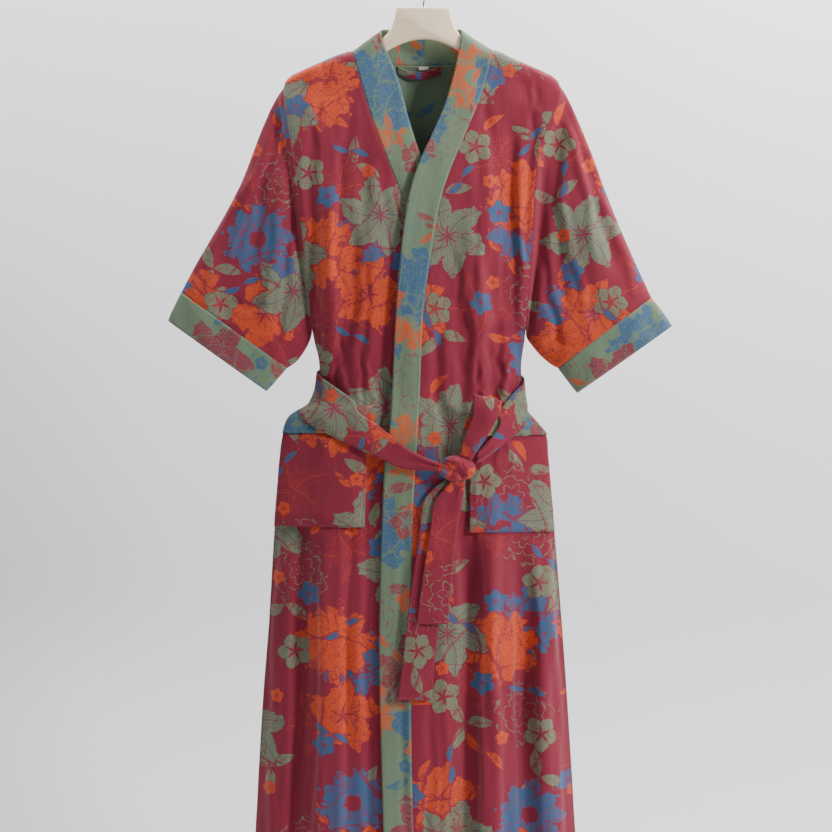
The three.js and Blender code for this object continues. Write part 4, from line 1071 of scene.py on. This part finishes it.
# Creases of the side that looks forwards and of the one that looks back
PLAIN = ([], [])
FRONT = (FRONT_LINES, [])
BACK = (FRONT_LINES, BACK_CREASES)
SLEEVES = {side: (near, far_side(near)) for side, near in SLEEVE_CREASES.items()}
PIECES = [
    # node, facing, levels, creases, turn, shift, slot
    ("back", BACK_WAY, 2, BACK, 0, (0.05, 0.10), "cloth"),
    ("front_left", FRONT_WAY, 3, FRONT, 0, (0.02, 0.06), "cloth"),
    ("front_right", FRONT_WAY, 3, FRONT, 0, (0.13, 0.31), "cloth"),
    ("collar_left", FRONT_WAY, 3, FRONT, 12, (0.40, 0.12), "cloth_reverse"),
    ("collar_right", FRONT_WAY, 3, FRONT, -8, (0.22, 0.44), "cloth_reverse"),
    ("sleeve_left", None, 3, SLEEVES["left"], -32, (0.30, 0.20), "cloth"),
    ("sleeve_right", None, 3, SLEEVES["right"], 32, (0.18, 0.37), "cloth"),
    ("cuff_left", None, 3, PLAIN, -32, (0.12, 0.29), "cloth_reverse"),
    ("cuff_right", None, 3, PLAIN, 32, (0.44, 0.08), "cloth_reverse"),
    ("pocket_left", FRONT_WAY, 3, FRONT, 2, (0.27, 0.15), "cloth"),
    ("pocket_right", FRONT_WAY, 3, FRONT, -1, (0.36, 0.02), "cloth"),
    ("pocket_band_left", FRONT_WAY, 3, FRONT, 0, (0.09, 0.33), "cloth_reverse"),
    ("pocket_band_right", FRONT_WAY, 3, FRONT, 0, (0.41, 0.26), "cloth_reverse"),
    ("belt_waist", None, 2, PLAIN, -24, (0.21, 0.05), "cloth"),
    ("belt_loop", None, 3, PLAIN, 60, (0.33, 0.41), "cloth"),
    ("belt_tail_front", FRONT_WAY, 3, PLAIN, 8, (0.15, 0.22), "cloth"),
    ("belt_tail_back", FRONT_WAY, 3, PLAIN, 8, (0.46, 0.17), "cloth"),
    ("hanging_loop", FRONT_WAY, 3, PLAIN, 0, (0.02, 0.45), "cloth"),
]
piece_of = {}
slot_of = {}
for node, facing, levels, creases, turn, shift, slot in PIECES:
    wall = WALLS.get(node.split("_")[0], CLOTH_WALL)
    doubled = slot == "cloth_reverse" or wall != CLOTH_WALL
    neighbours = [] if node in BELT else BELT + NEIGHBOURS.get(node, [])
    piece = rounded(node + "_cloth", outer_skin(node, facing), levels)
    crease_sheet(piece, neighbours, creases, CLOTH_SEED, DOUBLED_PUCKER if doubled else 1.0)
    if node in FLARES:
        flare(piece, FLARES[node])
    lay_pattern(piece, turn, shift)
    give_thickness(piece, wall)
    piece.data.materials.append(looks[slot])
    piece.data.materials.append(looks[slot if doubled else "cloth_reverse"])
    stand_in(piece, node)
    piece_of[node] = piece
    slot_of[node] = slot
print("cloth pieces:", len(piece_of))

# %% [markdown]
# ## The knot
#
# The knot is a lump where the belt crosses itself. Its folds are cut into the lump the same way as
# the creases: two deep ones mark the edges of the turn that wraps over it and shallow ones pull
# towards its ends.

# %% Shape the knot
KNOT_CREASES = [
    (10, -738, 72, -800, 7, -2.6),
    (22, -724, 92, -768, 6, -2.4),
    (16, -730, 86, -786, 8, 1.4),
    (4, -752, 66, -808, 5, 1.0),
    (40, -730, 98, -756, 5, -1.2),
    (30, -740, 80, -781, 3, -0.8),
]
KNOT = {"levels": 3, "seed": 2.0, "turn": -40, "shift": (0.24, 0.13)}

knot = rounded("belt_knot_cloth", merged_copy("belt_knot"), KNOT["levels"])
knot_moves = []
for vertex in knot.data.vertices:
    depth = sum(line_rise(line, vertex.co.x / MM, vertex.co.z / MM) for line in KNOT_CREASES)
    fine = ripple(vertex.co, FINE_RIPPLE, KNOT["seed"])
    knot_moves.append(vertex.normal * (depth * abs(vertex.normal.y) + fine) * MM)
move_points(knot.data, knot_moves)
lay_pattern(knot, KNOT["turn"], KNOT["shift"])
knot.data.materials.append(looks["cloth"])
stand_in(knot, "belt_knot")
piece_of["belt_knot"] = knot

# %% [markdown]
# ## Stitching
#
# Rows of stitches run a few millimetres inside the seams of the bands, the pockets and the belt, and
# above the hem. A row follows the sheet's own border, moved inwards, and each stitch is a small
# spindle set down on the nearest place of the creased sheet.

# %% Sew the rows
STITCH = {
    "pitch": 5.0 * MM, "length": 3.6 * MM, "radius": 0.33 * MM, "sides": 5, "shoulder": 0.3,
}
FACES_PER_STITCH = 3 * STITCH["sides"]
EDGE_ROW = 3.0 * MM
HEM_ROW = 22 * MM
HEM_BORDER = -1.345
THREADS = {"cloth": linear(120, 44, 58), "cloth_reverse": linear(122, 134, 112)}
# node, inset, highest border point that is followed
STITCH_ROWS = [
    (node, EDGE_ROW, 0) for node in slot_of if node.startswith(("collar", "cuff", "pocket", "belt"))
]
STITCH_ROWS += [(node, HEM_ROW, HEM_BORDER) for node in ("back", "front_left", "front_right")]


def border_rows(mesh):
    """The sheet's border as lists of point numbers, each in the order of a walk along it."""
    beside = {}
    shape = opened(mesh)
    for edge in shape.edges:
        if edge.is_boundary:
            first, second = (vertex.index for vertex in edge.verts)
            beside.setdefault(first, []).append(second)
            beside.setdefault(second, []).append(first)
    shape.free()
    rows = []
    while beside:
        here = next(iter(beside))
        row = [here]
        while here in beside:
            onward = [index for index in beside.pop(here) if index in beside]
            if onward:
                here = onward[0]
                row.append(here)
        rows.append(row)
    return rows


def along_row(points, pitch):
    """Places at even distances along a line of points, each with its direction."""
    places = []
    left = pitch / 2
    for start, end in zip(points, points[1:]):
        run = end - start
        while left < run.length:
            places.append((start + run.normalized() * left, run.normalized()))
            left += pitch
        left -= run.length
    return places


def spindle(middle, way, up, points, faces):
    """Adds one stitch, pointed at both ends."""
    side = way.cross(up).normalized()
    sides, length = STITCH["sides"], STITCH["length"]
    first = len(points)
    for share in (-STITCH["shoulder"], STITCH["shoulder"]):
        for turn in range(sides):
            angle = math.tau * turn / sides
            out = side * math.cos(angle) + up * math.sin(angle)
            points.append(middle + way * share * length + out * STITCH["radius"])
    points.append(middle - way * length / 2)
    points.append(middle + way * length / 2)
    tail, tip = first + 2 * sides, first + 2 * sides + 1
    for turn in range(sides):
        low, low_next = first + turn, first + (turn + 1) % sides
        high, high_next = low + sides, low_next + sides
        faces += [(low, low_next, high_next, high), (low_next, low, tail), (high, high_next, tip)]


def sew(node, inset, highest):
    """One object with every stitch along the border of a piece."""
    mesh = piece_of[node].data
    tree = BVHTree.FromPolygons([v.co for v in mesh.vertices], [p.vertices for p in mesh.polygons])
    ways = ways_off(mesh)
    points, faces = [], []
    for row in border_rows(mesh):
        followed = [index for index in row if mesh.vertices[index].co.z < highest]
        line = [mesh.vertices[index].co - ways[index] * inset for index in followed]
        for place, way in along_row(line, STITCH["pitch"]):
            nearest, normal, _, distance = tree.find_nearest(place)
            if distance < inset / 2:
                level_way = (way - normal * way.dot(normal)).normalized()
                spindle(nearest, level_way, normal, points, faces)
    rows_mesh = bpy.data.meshes.new(node + "_stitches")
    rows_mesh.from_pydata(points, [], faces)
    rows_mesh.shade_smooth()
    stitches = as_object(node + "_stitches", rows_mesh)
    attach(stitches, "root")
    return stitches


thread_looks = {}
for slot, colour in THREADS.items():
    thread_looks[slot] = new_material(
        "thread_on_" + slot, Base_Color=colour, Roughness=0.7, Sheen_Weight=0.1,
    )[0]
stitches_of = {}
for node, inset, highest in STITCH_ROWS:
    stitches = sew(node, inset, highest)
    stitches.data.materials.append(thread_looks[slot_of[node]])
    stitches_of[node] = stitches
stitch_faces = sum(len(stitches.data.polygons) for stitches in stitches_of.values())
print("stitches:", stitch_faces // FACES_PER_STITCH)

# %% [markdown]
# ## The label, the hanger and its hook
#
# The label is a blank strip of white tape. The hanger is pale beech: long pores and soft growth
# bands run along it. The hook is bright wire.


# %% Materials of the hard pieces
# How much a grain is drawn out sideways, how fine it is and its detail
TAPE_WEAVE = (0.15, 2600.0, 1.0)
BEECH_BANDS = (0.06, 95.0, 2.0)
BEECH_PORES = (0.03, 900.0, 2.0)
WIRE_GRAIN = (1.0, 700.0, 2.0)
PORE = {"edge": (0.56, 0.74), "strength": 0.35}
WIRE_ROUGHNESS = {"least": 0.16, "more": 0.14}


def grain(tree, drawn_out, fineness, detail):
    """Noise in the piece's own coordinates."""
    place = tree.nodes.new("ShaderNodeTexCoord").outputs["Object"]
    return noise_value(stretched(place, drawn_out, 1.0), fineness, detail)


tape_look, tape, tape_shader = new_material("label_tape", Roughness=0.75, Sheen_Weight=0.1)
tape_colour = blend_colour(
    grain(tape, *TAPE_WEAVE), linear(236, 233, 226), linear(214, 211, 204),
)
set_inputs(tape_shader, Base_Color=tape_colour)

beech_look, beech, beech_shader = new_material("beech", Roughness=0.42, Coat_Weight=0.15)
pores = grain(beech, *BEECH_PORES)
banded = blend_colour(
    grain(beech, *BEECH_BANDS), linear(255, 232, 200), linear(248, 218, 180),
)
pore_share = calc("MULTIPLY", smooth_step(pores, *PORE["edge"]), PORE["strength"])
set_inputs(
    beech_shader, Base_Color=blend_colour(pore_share, banded, linear(190, 148, 108)),
    Normal=bumped(pores, strength=0.25, distance=0.2 * MM),
)

wire_look, wire, wire_shader = new_material(
    "hook_wire", Base_Color=linear(205, 207, 210), Metallic=1.0,
)
wire_rough = calc(
    "MULTIPLY_ADD", grain(wire, *WIRE_GRAIN), WIRE_ROUGHNESS["more"], WIRE_ROUGHNESS["least"],
)
set_inputs(wire_shader, Roughness=wire_rough)

# %% Smooth copies of the hard pieces
HARD_PIECES = [
    # node, slot, material, edges sharper than this many degrees stay sharp
    ("label", "label_tape", tape_look, 40),
    ("hanger_wood", "beech", beech_look, 40),
    ("hanger_hook", "hook_wire", wire_look, 50),
]
for node, slot, look, sharp_angle in HARD_PIECES:
    mesh = closed(node + "_smooth", merged_copy(node))
    mesh.shade_smooth()
    mesh.set_sharp_from_angle(angle=math.radians(sharp_angle))
    mesh.materials.append(look)
    piece_of[node] = as_object(node + "_smooth", mesh)
    stand_in(piece_of[node], node)

# %% [markdown]
# ## What each sheet was cut to
#
# Widths and lengths are those of the flat cut in metres. A sleeve and a cuff are tubes and count all
# round, the neck band and the belt as they show, one layer wide. The area is given where the cut
# isn't a rectangle.

CUTS = [
    # node, width, length, area, held, hangs from
    ("back", 0.60, 1.24, 0.55, "hung", "hanger_wood"),
    ("front_left", 0.33, 1.24, 0.295, "hung", "back"),
    ("front_right", 0.29, 1.24, 0.25, "hung", "back"),
    ("collar_left", 0.052, 1.36, None, "hung", "back"),
    ("collar_right", 0.047, 1.36, None, "hung", "back"),
    ("sleeve_left", 0.76, 0.35, 0.098, "hung", "back"),
    ("sleeve_right", 0.76, 0.35, 0.106, "hung", "back"),
    ("cuff_left", 0.40, 0.05, None, "hung", "sleeve_left"),
    ("cuff_right", 0.40, 0.05, None, "hung", "sleeve_right"),
    ("pocket_left", 0.138, 0.14, None, "hung", "front_left"),
    ("pocket_right", 0.13, 0.145, None, "hung", "front_right"),
    ("pocket_band_left", 0.135, 0.04, None, "hung", "pocket_left"),
    ("pocket_band_right", 0.115, 0.036, None, "hung", "pocket_right"),
    ("belt_waist", 0.045, 0.72, None, "gathered", "back"),
    ("belt_loop", 0.04, 0.19, None, "hung", "belt_knot"),
    ("belt_tail_front", 0.045, 0.215, None, "hung", "belt_knot"),
    ("belt_tail_back", 0.048, 0.325, None, "hung", "belt_knot"),
    ("hanging_loop", 0.011, 0.07, None, "hung", "back"),
]
for node, width, length, area, held, hangs_from in CUTS:
    extras = [stitches_of[node]] if node in stitches_of else []
    if node == "belt_waist":
        extras.append(piece_of["belt_knot"])
    if node == "hanging_loop":
        extras.append(piece_of["label"])
print("declared sheets:", len(CUTS))
